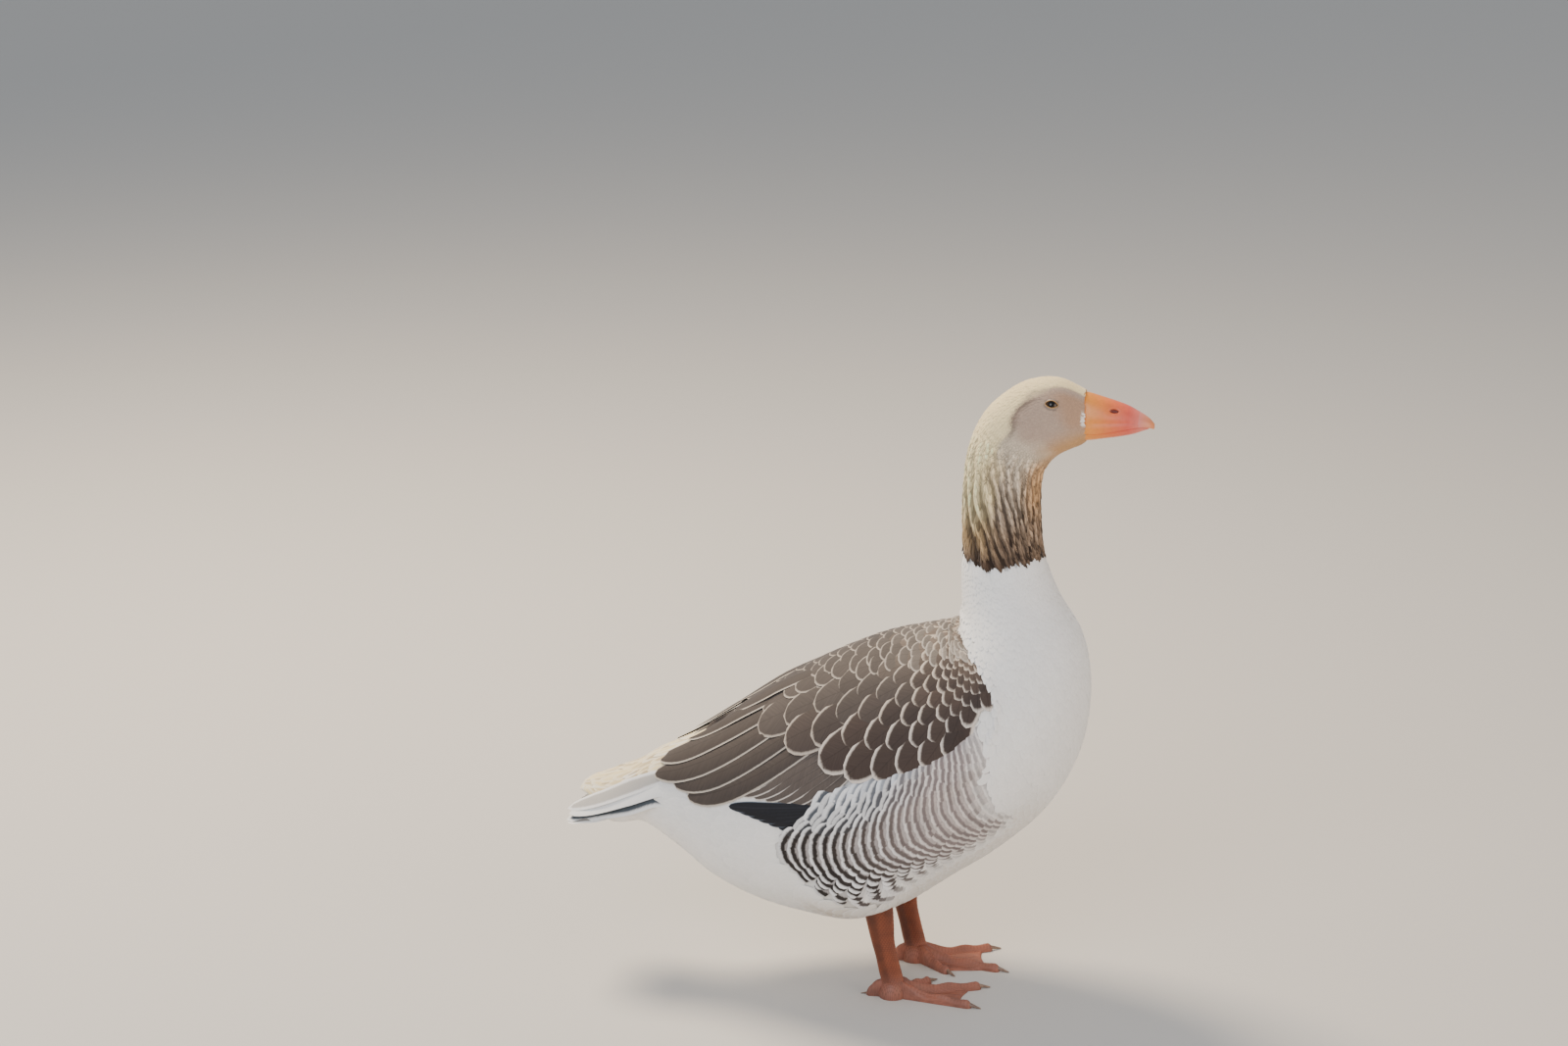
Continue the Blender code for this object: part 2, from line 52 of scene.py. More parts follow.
def hexLinear(text):
    # sRGB hex to linear light: v / 12.92 when dark, otherwise ((v + 0.055) / 1.055) ^ 2.4
    value = np.array([int(text[k:k + 2], 16) for k in (1, 3, 5)]) / 255
    return np.where(value <= 0.04045, value / 12.92, ((value + 0.055) / 1.055) ** 2.4)


def rgba(text):
    # a hex colour as the four numbers that a node takes
    return (*hexLinear(text), 1)


def ramp(x, low, high):
    # 0 at low, 1 at high, and the smooth step u^2 (3 - 2 u) between them; low may be the greater
    u = np.clip((np.asarray(x, float) - low) / (high - low), 0, 1)
    return u * u * (3 - 2 * u)


def degreesDown(a):
    # degrees down from the ridge of the back, the same on both sides
    return np.degrees(np.abs(a))


def halfTurn(a):
    # the same angle between minus and plus half a turn
    return (np.asarray(a) + math.pi) % (2 * math.pi) - math.pi


def mixed(one, two, share):
    # colours or numbers between one and two, by share
    share = np.asarray(share, float)
    if np.ndim(one) or np.ndim(two):
        share = share[..., None]
    return one * (1 - share) + two * share


def around(amount, count):
    # random numbers within this amount of 0
    return random.uniform(-amount, amount, count)


def smoothCurve(knots, values, places):
    # cubic (Hermite) pieces through the rows of values, each knot's slope from its neighbours
    knots = np.asarray(knots, float)
    values = np.asarray(values, float).reshape(len(knots), -1)
    places = np.clip(np.asarray(places, float), knots[0], knots[-1])
    slopes = np.gradient(values, knots, axis=0)
    left = np.clip(np.searchsorted(knots, places, side="right") - 1, 0, len(knots) - 2)
    span = (knots[left + 1] - knots[left])[:, None]
    u = (places - knots[left])[:, None] / span
    return ((2 * u**3 - 3 * u**2 + 1) * values[left] + (u**3 - 2 * u**2 + u) * span * slopes[left]
            + (3 * u**2 - 2 * u**3) * values[left + 1] + (u**3 - u**2) * span * slopes[left + 1])


def makePiece(name, points, quads, triangles, material, nodes, sharp=50):
    # puts whole arrays into a mesh: points in millimetres, faces by point number; sharp is in degrees
    mesh = bpy.data.meshes.new(name)
    points = np.asarray(points, float).reshape(-1, 3)
    corners = np.concatenate([np.ravel(quads), np.ravel(triangles)]).astype(np.int32)
    sizes = np.concatenate([np.full(len(quads), 4), np.full(len(triangles), 3)])
    mesh.vertices.add(len(points))
    mesh.vertices.foreach_set("co", (points * 0.001).ravel())
    mesh.loops.add(len(corners))
    mesh.loops.foreach_set("vertex_index", corners)
    mesh.polygons.add(len(sizes))
    mesh.polygons.foreach_set("loop_start", np.concatenate([[0], np.cumsum(sizes)[:-1]]).astype(np.int32))
    mesh.update(calc_edges=True)
    mesh.shade_smooth()
    if sharp:
        mesh.set_sharp_from_angle(angle=math.radians(sharp))
    mesh.materials.append(material)
    piece = bpy.data.objects.new(name, mesh)
    bpy.context.scene.collection.objects.link(piece)
    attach(piece, "root")
    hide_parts(*nodes)
    return piece


def addVectors(piece, name, values):
    # three numbers at each point, for the material to read
    held = piece.data.attributes.new(name, "FLOAT_VECTOR", "POINT")
    held.data.foreach_set("vector", np.asarray(values, np.float32).ravel())


def addColours(piece, name, values):
    # a colour at each point, for the material to read
    held = piece.data.attributes.new(name, "FLOAT_COLOR", "POINT")
    full = np.ones((len(values), 4), np.float32)
    full[:, :3] = values
    held.data.foreach_set("color", full.ravel())


def addBakeMap(piece, places):
    # a map from each point's own place, the same in all its faces
    mesh = piece.data
    corner = np.empty(len(mesh.loops), np.int32)
    mesh.loops.foreach_get("vertex_index", corner)
    layer = mesh.uv_layers.new(name="OFBake")
    layer.uv.foreach_set("vector", np.asarray(places, np.float32)[corner].ravel())


def gridFaces(rows, columns):
    # quads of a grid of rows by columns, whose last column meets its first
    row, column = np.arange(rows - 1)[:, None], np.arange(columns)[None, :]
    after = (column + 1) % columns
    low, high = row * columns, (row + 1) * columns
    return np.stack([low + column, low + after, high + after, high + column], -1).reshape(-1, 4)


def closedTube(name, ring, inward, material, nodes, sharp=None, ends=None):
    # rings of points joined in order, with a fan over each end to its middle or to the given point
    rows, n = ring.shape[:2]
    count, last = rows * n, (rows - 1) * n
    ends = np.stack([ring[0].mean(0), ring[-1].mean(0)]) if ends is None else ends
    column = np.arange(n)
    after = (column + 1) % n
    fans = np.concatenate([np.stack([after, column, np.full(n, count)], -1),
                           np.stack([last + column, last + after, np.full(n, count + 1)], -1)])
    quads = gridFaces(rows, n)
    if inward:
        quads, fans = quads[:, ::-1], fans[:, ::-1]
    points = np.concatenate([ring.reshape(-1, 3), ends])
    return makePiece(name, points, quads, fans, material, nodes, sharp)


# Sections from the tips of the tail coverts to the bill: back line x, z; belly line x, z; half width;
# how much wider the section is below its middle; and how far its sides droop.
bodyForm = {
    "rows": np.array((
        (-289, 191.2, -289, 188.8, 11, 0, 1), (-281, 198, -281, 190, 20, 0, 4),
        (-271.6, 203, -272.4, 186, 28, 0, 7), (-260.2, 207, -263.8, 169, 36, 0, 8),
        (-246, 213, -254, 157, 40, 0, 5), (-230.8, 219, -241.2, 155, 41, 0, 2),
        (-212, 231, -226, 157, 40, 0.00, 0), (-168, 254, -186, 136, 57, 0.00, 0),
        (-124, 281, -144, 106, 80, 0.02, 0), (-80, 309, -96, 86, 101, 0.05, 0),
        (-36, 335, -44, 75, 116, 0.08, 0), (4, 355, 8, 71, 125, 0.08, 0),
        (40, 369, 62, 94, 129, 0.06, 0), (70, 376, 109, 127, 129, 0.02, 0),
        (92, 381, 156, 160, 124, -0.02, 0), (104, 386, 203, 206, 116, -0.04, 0),
        (109, 394, 232, 262, 104, -0.04, 0), (110, 404, 241, 325, 87, -0.02, 0),
        (109, 418, 233, 378, 68, 0.00, 0), (108, 441, 208, 423, 51, 0.00, 0),
        (108, 470, 192, 465, 40, 0.00, 0), (108, 505, 187, 505, 35, 0.00, 0),
        (109, 541, 187, 537, 33.5, 0.00, 0), (113, 573, 191, 555, 33, 0.00, 0),
        (124, 601, 203, 569, 32, 0.05, 0), (145, 626, 217, 577, 31, 0.10, 0),
        (174, 644, 226, 581, 29, 0.12, 0), (203, 648, 230, 584, 25, 0.16, 0),
        (230, 637, 233, 587, 19, 0.10, 0),
    ), float),
    "tailRootRow": 6,
    "thighCentre": (9.0, 69.4, 151.2),
    "thighReach": (70.0, 51.0, 57.0),
    "thighBlend": 1.6,
    "gridStep": 2.0,
    "gridTurns": 288,
}


def formPoint(t, a):
    # middle + reach * cos a in the bird's own plane, half width * sin a * (1 - lean * cos a) sideways,
    # and sunk by droop * |sin a|^1.7
    t, a = np.broadcast_arrays(np.asarray(t, float), np.asarray(a, float))
    size = smoothCurve(formKnots, bodyForm["rows"], t.ravel()).reshape(*t.shape, 7)
    up, side = np.cos(a), np.sin(a)
    middle, reach = (size[..., 0:2] + size[..., 2:4]) / 2, (size[..., 0:2] - size[..., 2:4]) / 2
    flat = middle + reach * up[..., None]
    drop = size[..., 6] * np.abs(side) ** 1.7
    return np.stack([flat[..., 0], size[..., 4] * side * (1 - size[..., 5] * up), flat[..., 1] - drop], -1)


def gridNormals(points):
    # cross product of the steps ahead and around; the last column repeats the first
    ahead = np.gradient(points, axis=0)
    ring = np.concatenate([points[:, -2:-1], points, points[:, 1:2]], 1)
    around = (ring[:, 2:] - ring[:, :-2]) / 2
    out = np.cross(ahead, around)
    return out / np.maximum(np.linalg.norm(out, axis=-1, keepdims=True), 1e-9), ahead, around


def thighRise(points, out):
    # how far along the normal a ray from the body leaves the thigh's ellipsoid (the greater root of its
    # quadratic), smoothed to nothing at its rim by blend * log(1 + exp(far / blend))
    reach, blend = np.array(bodyForm["thighReach"]), bodyForm["thighBlend"]
    x, y, z = bodyForm["thighCentre"]
    missed, most = -30, 60
    rise = np.zeros(points.shape[:-1])
    for side in (1, -1):
        off, way = (points - np.array((x, side * y, z))) / reach, out / reach
        a, b, c = (way**2).sum(-1), (off * way).sum(-1), (off**2).sum(-1) - 1
        inside = b * b - a * c
        far = np.where(inside > 0, (-b + np.sqrt(np.maximum(inside, 0))) / a, missed)
        rise = np.maximum(rise, blend * np.log1p(np.exp(np.clip(far, missed, most) / blend)))
    return rise


middles = (bodyForm["rows"][:, 0:2] + bodyForm["rows"][:, 2:4]) / 2
formKnots = np.concatenate([[0], np.cumsum(np.linalg.norm(np.diff(middles, axis=0), axis=1))])
formKnots -= formKnots[bodyForm["tailRootRow"]]
tailEnd, billBase = formKnots[0], formKnots[-1]
gridT = np.linspace(tailEnd, billBase, int((billBase - tailEnd) / bodyForm["gridStep"]) + 1)
gridA = np.linspace(-math.pi, math.pi, bodyForm["gridTurns"] + 1)
bodyGrid = formPoint(gridT[:, None], gridA[None, :])
plainOut = gridNormals(bodyGrid)[0]
bodyGrid = bodyGrid + thighRise(bodyGrid, plainOut)[..., None] * plainOut
bodyOut, stepAhead, stepAround = gridNormals(bodyGrid)
stretch = np.stack([np.linalg.norm(stepAhead, axis=-1) / (gridT[1] - gridT[0]),
                    np.linalg.norm(stepAround, axis=-1) / (gridA[1] - gridA[0])], -1)
bodyTable = np.concatenate([bodyGrid, bodyOut, stretch], -1)


def onBody(t, a):
    # place, normal and stretch (mm per mm, mm per radian) by blending the four nearest grid points
    row = np.clip((np.asarray(t, float) - gridT[0]) / (gridT[1] - gridT[0]), 0, len(gridT) - 1.001)
    column = (np.asarray(a, float) + math.pi) / (gridA[1] - gridA[0]) % (len(gridA) - 1)
    i, j = row.astype(int), column.astype(int)
    u, v = (row - i)[..., None], (column - j)[..., None]
    found = ((bodyTable[i, j] * (1 - u) + bodyTable[i + 1, j] * u) * (1 - v)
             + (bodyTable[i, j + 1] * (1 - u) + bodyTable[i + 1, j + 1] * u) * v)
    return found[..., 0:3], found[..., 3:6], np.maximum(found[..., 6:8], (0.25, 4.0))


perimeter = np.linalg.norm(np.diff(bodyGrid, axis=1), axis=-1).sum(1)


def skinMap(t, a, tRange=None):
    # the skin cut along the belly and laid flat: as wide as the bird is round, as high as it is long
    low, high = tRange or (tailEnd, billBase)
    wide = np.interp(t, gridT, perimeter) / perimeter[(gridT >= low) & (gridT <= high)].max()
    margin = 0.02
    span = 1 - 2 * margin
    return np.stack([0.5 + span * halfTurn(a) / (2 * math.pi) * wide,
                     margin + span * (t - low) / (high - low)], -1)


print("body form", bodyGrid.shape)


# Feathers. Each is a thin closed vane: rings of points across it from root to tip, the tip a point.

vaneShapes = {
    # rings along, points across the top, points under; where it is widest and how it rounds to its tip
    "tuft": {"rings": 4, "top": 3, "under": 1, "widest": 0.45, "tip": (1.6, 0.8), "root": 0.45},
    "spear": {"rings": 6, "top": 5, "under": 1, "widest": 0.42, "tip": (1.5, 0.95), "root": 0.5},
    "contour": {"rings": 6, "top": 5, "under": 1, "widest": 0.5, "tip": (2.1, 0.55), "root": 0.5},
    "scallop": {"rings": 9, "top": 9, "under": 3, "widest": 0.52, "tip": (2.5, 0.5), "root": 0.5},
    "band": {"rings": 10, "top": 9, "under": 3, "widest": 0.62, "tip": (3.2, 0.5), "root": 0.6},
    "quill": {"rings": 18, "top": 9, "under": 3, "widest": 0.72, "tip": (2.2, 0.5), "root": 0.55,
              "levelAt": 0.65},
}
# rings crowd towards the tip, points towards the edges; each small feather's patch on the map is 0.003 across
vaneGrid = {"crowding": 1.35, "lastRing": 0.965, "lastRingFrom": 0.93, "spread": 0.8, "patch": 0.003}


def vaneFaces(rings, across):
    # faces of one feather: its grid, a fan to the point at its tip, and a cap over its root
    column = np.arange(across)
    last = (rings - 1) * across
    fan = np.stack([last + column, last + (column + 1) % across, np.full(across, last + across)], -1)
    cap = np.stack([np.zeros(across - 2, int), column[2:], column[1:-1]], -1)
    return gridFaces(rings, across), np.concatenate([fan, cap])


def makeVanes(name, shapeName, feathers, material, nodes, tRange=None, atlas=False,
              acrossBars=False):
    # Every feather is a grid of rings by points. Along it (v from 0 to 1) its middle goes from root to tip
    # on the body, bowed by bend * sin(pi v / 2)^2. Across it (u from -1 to 1) it is halfWidth * w(v) * u
    # wide, where w rises from the root, then falls as (1 - q^p)^e over the rounded end. Its height above the
    # body is lift + rise * v + arch * (1 - u^2) + tilt * u * w + curl * ((v - 0.6) / 0.4)^2 near the tip
    # + field * level, plus or minus half its thickness * sqrt(1 - u^2).
    shape = vaneShapes[shapeName]
    f = {key: np.asarray(value, float) for key, value in feathers.items() if key != "field"}
    count = len(f["rootT"])

    def value(key, other=0.0):
        # the entry as a column, a single number being the same for every feather
        return np.broadcast_to(f.get(key, np.asarray(other, float)), (count,))[:, None]

    share = np.linspace(0, 1, shape["rings"] + 1)[:-1]
    v = 1 - (1 - share) ** vaneGrid["crowding"]
    v = v * (vaneGrid["lastRing"] / v[-1]) if v[-1] < vaneGrid["lastRingFrom"] else v
    q = np.clip((v - shape["widest"]) / (1 - shape["widest"]), 0, 1)
    rootRise = shape["root"] + (1 - shape["root"]) * np.clip(v / shape["widest"], 0, 1) ** 0.7
    power, end = shape["tip"]
    w = rootRise * np.maximum(1 - q**power, 0.0) ** end
    topU = np.linspace(-1, 1, shape["top"])
    topU = np.sign(topU) * np.abs(topU) ** vaneGrid["spread"]
    underU = np.linspace(1, -1, shape["under"] + 2)[1:-1]
    u = np.concatenate([topU, underU])
    sign = np.concatenate([np.ones(len(topU)), -np.ones(len(underU))])
    sign[[0, len(topU) - 1]] = 0
    # the tip joins as one more ring of a single point
    vAll = np.concatenate([v, [1.0]])
    side = value("side", 1)
    stepT, stepA = value("tipT") - value("rootT"), value("tipA") - value("rootA")
    middleT = value("rootT") + stepT * vAll
    middleA = value("rootA") + stepA * vAll
    _, _, scale = onBody(middleT, middleA)
    wayT, wayA = stepT * scale[..., 0], stepA * scale[..., 1]
    length = np.hypot(wayT, wayA).mean(1, keepdims=True)
    size = np.maximum(np.hypot(wayT, wayA), 1e-6)
    acrossT, acrossA = wayA / size / scale[..., 0], -wayT / size / scale[..., 1]
    bow = value("bend") * np.sin(math.pi * vAll * 0.5) ** 2 * side
    middleT, middleA = middleT + bow * acrossT, middleA + bow * acrossA
    half = value("halfWidth")
    x = half[..., None] * w[None, :, None] * u[None, None, :]
    ringT = middleT[:, :-1, None] + x * acrossT[:, :-1, None]
    ringA = middleA[:, :-1, None] + x * acrossA[:, :-1, None]
    body = np.minimum(np.sin(math.pi * np.clip(v, 0.02, 1) ** 0.8) * 1.2 + 0.25, 1.0)
    height = (value("lift")[..., None] + value("rise")[..., None] * v[None, :, None]
              + value("arch")[..., None] * body[None, :, None] * (1 - u**2)[None, None, :]
              + (value("tilt") * side)[..., None] * u[None, None, :] * w[None, :, None]
              + value("curl")[..., None] * (np.clip((v - 0.6) / 0.4, 0, 1) ** 2)[None, :, None]
              + value("thick", 0.4)[..., None] / 2 * sign * np.sqrt(1 - u**2 * 0.999) * body[:, None])
    tipHeight = value("lift") + value("rise") + value("curl")
    field = feathers.get("field")
    if field is not None:
        risen = np.minimum(v / shape.get("levelAt", 1), 1)
        level = value("levelRoot") + (value("levelTip", 1) - value("levelRoot")) * risen
        height = height + field(ringT, ringA) * level[..., None]
        tipHeight = tipHeight + field(middleT[:, -1:], middleA[:, -1:]) * value("levelTip", 1)
    place, out, _ = onBody(ringT, ringA)
    rings = place + out * height[..., None]
    place, out, _ = onBody(middleT[:, -1:], middleA[:, -1:])
    tips = place + out * tipHeight[..., None]
    perRing, ringCount = len(u), len(v)
    points = np.concatenate([rings.reshape(count, -1, 3), tips.reshape(count, 1, 3)], 1)
    perFeather = points.shape[1]
    quads, triangles = vaneFaces(ringCount, perRing)
    base = np.arange(count)[:, None, None] * perFeather
    piece = makePiece(name, points, (base + quads).reshape(-1, 4), (base + triangles).reshape(-1, 3),
                      material, nodes)
    # what the plumage material reads: place in the vane, and how far in from its edge in fringe widths
    uAll = np.concatenate([np.tile(u, ringCount), [0.0]])
    vEach = np.concatenate([np.repeat(v, perRing), [1.0]])
    wEach = np.concatenate([np.repeat(w, perRing), [0.0]])
    slope = np.gradient(w, v)
    slopeEach = np.concatenate([np.repeat(slope, perRing), [slope[-1]]])
    across = half * wEach * uAll
    lean = 1 / np.sqrt(1 + (half * slopeEach / length) ** 2)
    inside = np.minimum((1 - np.abs(uAll)) * half * wEach * lean, (1 - vEach) * length * 0.9)
    if acrossBars:
        # the bars cross the whole vane, bowed a little with its tip
        inside = (1 - vEach) * length - 0.02 * across**2
    seed = value("seed", 0) + np.zeros((1, perFeather))
    addVectors(piece, "vane", np.stack(np.broadcast_arrays(uAll, vEach, seed), -1).reshape(-1, 3))
    inside = inside / value("fringeWidth", 1.0)
    addVectors(piece, "reach", np.stack([across, vEach * length, inside], -1).reshape(-1, 3))
    for key in ("centre", "fringe", "base"):
        if key in f:
            addColours(piece, key, np.repeat(f[key], perFeather, axis=0))
    if atlas:
        cells = math.ceil(math.sqrt(count))
        cell = np.stack([np.arange(count) % cells, np.arange(count) // cells], -1)[:, None, :]
        local = np.stack([0.5 + 0.44 * uAll, 0.06 + 0.88 * vEach], -1)
        bake = (cell + local[None]) / cells
    else:
        root = skinMap(f["rootT"], f["rootA"], tRange)[:, None, :]
        bake = root + vaneGrid["patch"] * np.stack([0.5 * uAll, vEach - 0.5], -1)[None]
    addBakeMap(piece, bake.reshape(-1, 2))
    print(f"{name}: {count} feathers, {(len(quads) * 2 + len(triangles)) * count} triangles")


def towards(rootT, rootA, turn, length, side):
    # the tip of a feather of this length, turned down from straight back by turn
    back, down = length * np.cos(turn), side * length * np.sin(turn)
    _, _, scale = onBody(rootT, rootA)
    _, _, scale = onBody(rootT - back / scale[..., 0] / 2, rootA + down / scale[..., 1] / 2)
    return rootT - back / scale[..., 0], rootA + down / scale[..., 1]


# the share of the way round, from the belly, at each point of the body's grid
arcTable = np.concatenate([np.zeros((len(gridT), 1)), np.cumsum(
    np.linalg.norm(np.diff(bodyGrid, axis=1), axis=-1), axis=1)], 1) / perimeter[:, None]


def columnRoots(low, high, columns, step, jitter=0.2):
    # roots in columns along the body: an equal share of the way round apart, and step(t) apart on the
    # surface; every other column starts half a step on, so that the feathers lie like tiles
    t = np.arange(low, high, 2.0)
    rows = np.clip(np.rint((t - gridT[0]) / (gridT[1] - gridT[0])).astype(int), 0, len(gridT) - 1)
    share = (np.arange(columns) + 0.5) / columns
    a = np.stack([np.interp(share, arcTable[row], gridA) for row in rows])
    place, _, _ = onBody(t[:, None] + 0 * a, a)
    pace = np.linalg.norm(np.diff(place, axis=0), axis=2) / step(t[:-1])[:, None]
    passed = np.concatenate([np.zeros((1, columns)), np.cumsum(pace, 0)])
    ts, angles = [], []
    for column in range(columns):
        at = np.arange(0.5 * (column % 2), passed[-1, column], 1.0)
        at = np.clip(at + random.uniform(-jitter, jitter, len(at)), 0, None)
        ts.append(np.interp(at, passed[:, column], t))
        angles.append(np.interp(ts[-1], t, a[:, column]))
    ts, angles = np.concatenate(ts), np.concatenate(angles)
    spacing = np.interp(ts, gridT, perimeter) / columns
    _, _, scale = onBody(ts, angles)
    return ts, angles + random.uniform(-jitter, jitter, len(ts)) * spacing / scale[:, 1], spacing


def addNode(tree, kind, **values):
    # a node with its settings (lower-case names) and its inputs by name or number: a socket is linked, and
    # anything else is set
    node = tree.nodes.new("ShaderNode" + kind)
    for key, value in values.items():
        if hasattr(node, key):
            setattr(node, key, value)
            continue
        place = node.inputs[int(key[1:]) if key[1:].isdigit() else key.replace("_", " ")]
        if isinstance(value, bpy.types.NodeSocket):
            tree.links.new(value, place)
        else:
            place.default_value = value
    return node


def newMaterial(name, **shaderValues):
    # a material whose shader has these inputs set
    material = bpy.data.materials.new(name)
    material.use_nodes = True
    tree = material.node_tree
    shader = tree.nodes["Principled BSDF"]
    for key, value in shaderValues.items():
        shader.inputs[key.replace("_", " ")].default_value = value
    return material, tree, shader


def shadedBy(tree, colour, tone):
    # the colour made darker or lighter by a number
    grey = addNode(tree, "CombineColor", Red=tone, Green=tone, Blue=tone).outputs[0]
    return addNode(tree, "Mix", data_type="RGBA", blend_type="MULTIPLY", Factor=1.0,
                   i6=colour, i7=grey).outputs[2]


def finishShader(tree, shader, colour, height, strength, depth):
    # the colour, and fine relief of this strength and depth in metres
    tree.links.new(colour, shader.inputs["Base Color"])
    bump = addNode(tree, "Bump", Height=height, Strength=strength, Distance=depth)
    tree.links.new(bump.outputs[0], shader.inputs["Normal"])


# Plumage is dry, finely barbed keratin: the eye gets no gloss from it, only a soft sheen where it turns away,
# fine streaks along its barbs and a shaft. barbLean is how far a barb runs towards the tip for each
# millimetre out from the shaft, so barbs leave it at about 40 degrees. barbRelief is in metres.
barbForm = {"barbLean": 0.85, "acrossScale": 0.06, "seedScale": 53.0, "barbRelief": 0.0004}


def plumage(name, look):
    # the centre colour, mixed to the fringe's towards the edge, times the streaks and the shaft's tone
    material, tree, shader = newMaterial(name, Roughness=look["roughness"], Specular_IOR_Level=0.25,
                                         Sheen_Weight=look["sheen"], Sheen_Roughness=0.5)
    held = [addNode(tree, "Attribute", attribute_name=name).outputs["Vector"] for name in ("vane", "reach")]
    vane, reach = (addNode(tree, "SeparateXYZ", Vector=vector).outputs for vector in held)
    centre, fringe = (addNode(tree, "Attribute", attribute_name=held).outputs["Color"]
                      for held in ("centre", "fringe"))
    away = addNode(tree, "Math", operation="ABSOLUTE", i0=reach["X"]).outputs[0]
    # streaks: noise that is stretched along the barbs, and starts anew in each feather
    along = addNode(tree, "Math", operation="MULTIPLY_ADD", i0=away, i1=-barbForm["barbLean"],
                    i2=reach["Y"]).outputs[0]
    x = addNode(tree, "Math", operation="DIVIDE", i0=along, i1=look["barbPitch"]).outputs[0]
    y, z = (addNode(tree, "Math", operation="MULTIPLY", i0=held, i1=barbForm[key]).outputs[0]
            for held, key in ((reach["X"], "acrossScale"), (vane["Z"], "seedScale")))
    barbs = addNode(tree, "CombineXYZ", X=x, Y=y, Z=z).outputs[0]
    streak = addNode(tree, "TexNoise", Vector=barbs, Scale=1.0, Detail=2.0).outputs["Fac"]
    # the pale fringe, with a ragged inner edge
    ragged = addNode(tree, "Math", operation="MULTIPLY_ADD", i0=streak, i1=look["ragged"],
                     i2=-0.5 * look["ragged"]).outputs[0]
    inside = addNode(tree, "Math", operation="ADD", i0=reach["Z"], i1=ragged).outputs[0]
    edge = addNode(tree, "MapRange", interpolation_type="SMOOTHSTEP", Value=inside,
                   From_Min=look["fringeFrom"], From_Max=look["fringeTo"], To_Min=1.0, To_Max=0.0).outputs[0]
    body = addNode(tree, "Mix", data_type="RGBA", Factor=edge, i6=centre, i7=fringe).outputs[2]
    if look.get("bars"):
        # barred feathers: behind the pale tip a dark bar, and behind that the base colour
        band = addNode(tree, "MapRange", interpolation_type="SMOOTHSTEP", Value=inside,
                       From_Min=look["bars"][0], From_Max=look["bars"][1]).outputs[0]
        base = addNode(tree, "Attribute", attribute_name="base").outputs["Color"]
        body = addNode(tree, "Mix", data_type="RGBA", Factor=band, i6=body, i7=base).outputs[2]
    # darker and paler barbs, and the shaft
    shade = addNode(tree, "MapRange", Value=streak, From_Min=0.25, From_Max=0.75,
                    To_Min=1 - look["streaks"], To_Max=1 + look["streaks"]).outputs[0]
    shaft = addNode(tree, "MapRange", interpolation_type="SMOOTHSTEP", Value=away,
                    From_Min=look["shaftWidth"] * 0.5, From_Max=look["shaftWidth"] * 1.3,
                    To_Min=look["shaft"], To_Max=1.0).outputs[0]
    tone = addNode(tree, "Math", operation="MULTIPLY", i0=shade, i1=shaft).outputs[0]
    finishShader(tree, shader, shadedBy(tree, body, tone), streak, look["bump"], barbForm["barbRelief"])
    return material


plumageKeys = ("roughness", "sheen", "barbPitch", "ragged", "fringeFrom", "fringeTo", "streaks", "shaft",
               "shaftWidth", "bump", "bars")
plumageLooks = {
    # barbs stand about 0.4 mm apart; they are drawn wider so that they show. Widths are in millimetres.
    "coatWhite": (0.85, 0.15, 1.3, 0.5, 0.5, 1.3, 0.035, 0.97, 0.3, 0.25),
    "coatHead": (0.9, 0.2, 0.7, 0.6, 0.3, 1.4, 0.08, 1.0, 0.3, 0.3),
    "coatNeck": (0.88, 0.15, 0.9, 0.7, 0.2, 1.4, 0.12, 1.0, 0.3, 0.35),
    "coatWing": (0.72, 0.08, 1.4, 0.75, 0.45, 1.5, 0.14, 0.72, 0.45, 0.4),
    "coatBarred": (0.8, 0.1, 1.5, 0.8, 0.7, 1.35, 0.10, 0.9, 0.4, 0.3, (2.1, 2.7)),
    "coatFlight": (0.55, 0.0, 1.2, 0.4, 0.6, 1.1, 0.12, 1.5, 0.6, 0.4),
}
plumages = {name: plumage(name, dict(zip(plumageKeys, row))) for name, row in plumageLooks.items()}
print("plumage materials")


# Markings of the body, by place: t in millimetres, and degrees round from the back, the same on both sides.

colours = {key: hexLinear(value) for key, value in {
    # cream and crown are pale feathers warmed with painted sunlight; face is a buff-grey darkened with
    # painted shade
    "white": "#F2F0EB", "whiteEdge": "#F7F5F1", "sunlitCream": "#F8E5B2", "crown": "#F7E1AC", "face": "#B49C89",
    # brow is painted shadow under the crown's edge
    # throat is a tan that is partly a painted warm reflection
    "brow": "#6A5A4D", "lores": "#B48E70", "billMargin": "#F0EAE0", "throat": "#C0925E",
    # neckGrooveBaseAndShade and collarGrooveBaseAndShade are the tufts' dark bases, deepened with painted
    # shade
    "neckLight": "#C2B09A", "neckTop": "#CDBDA6", "neckDark": "#927B65", "neckGrooveBaseAndShade": "#3B2C22",
    "collar": "#5B4636", "collarGrooveBaseAndShade": "#33261D", "napeTan": "#B8986A", "beige": "#CDBEA9",
    "rumpStreak": "#BFA988", "hem": "#BDA98D",
}.items()}


def neckLine(degrees):
    # where the brown neck ends, a little lower behind
    return np.interp(degrees, (0, 41, 71, 111, 154, 180), (573, 571, 565, 574, 578, 578))


def crownLine(t):
    # how far down from the ridge the cream crown reaches; its edge is also where painted sunlight on the
    # crown meets painted shade on the face
    return np.interp(t, (640, 690, 715, 745, 774), (62, 74, 62, 42, 34))


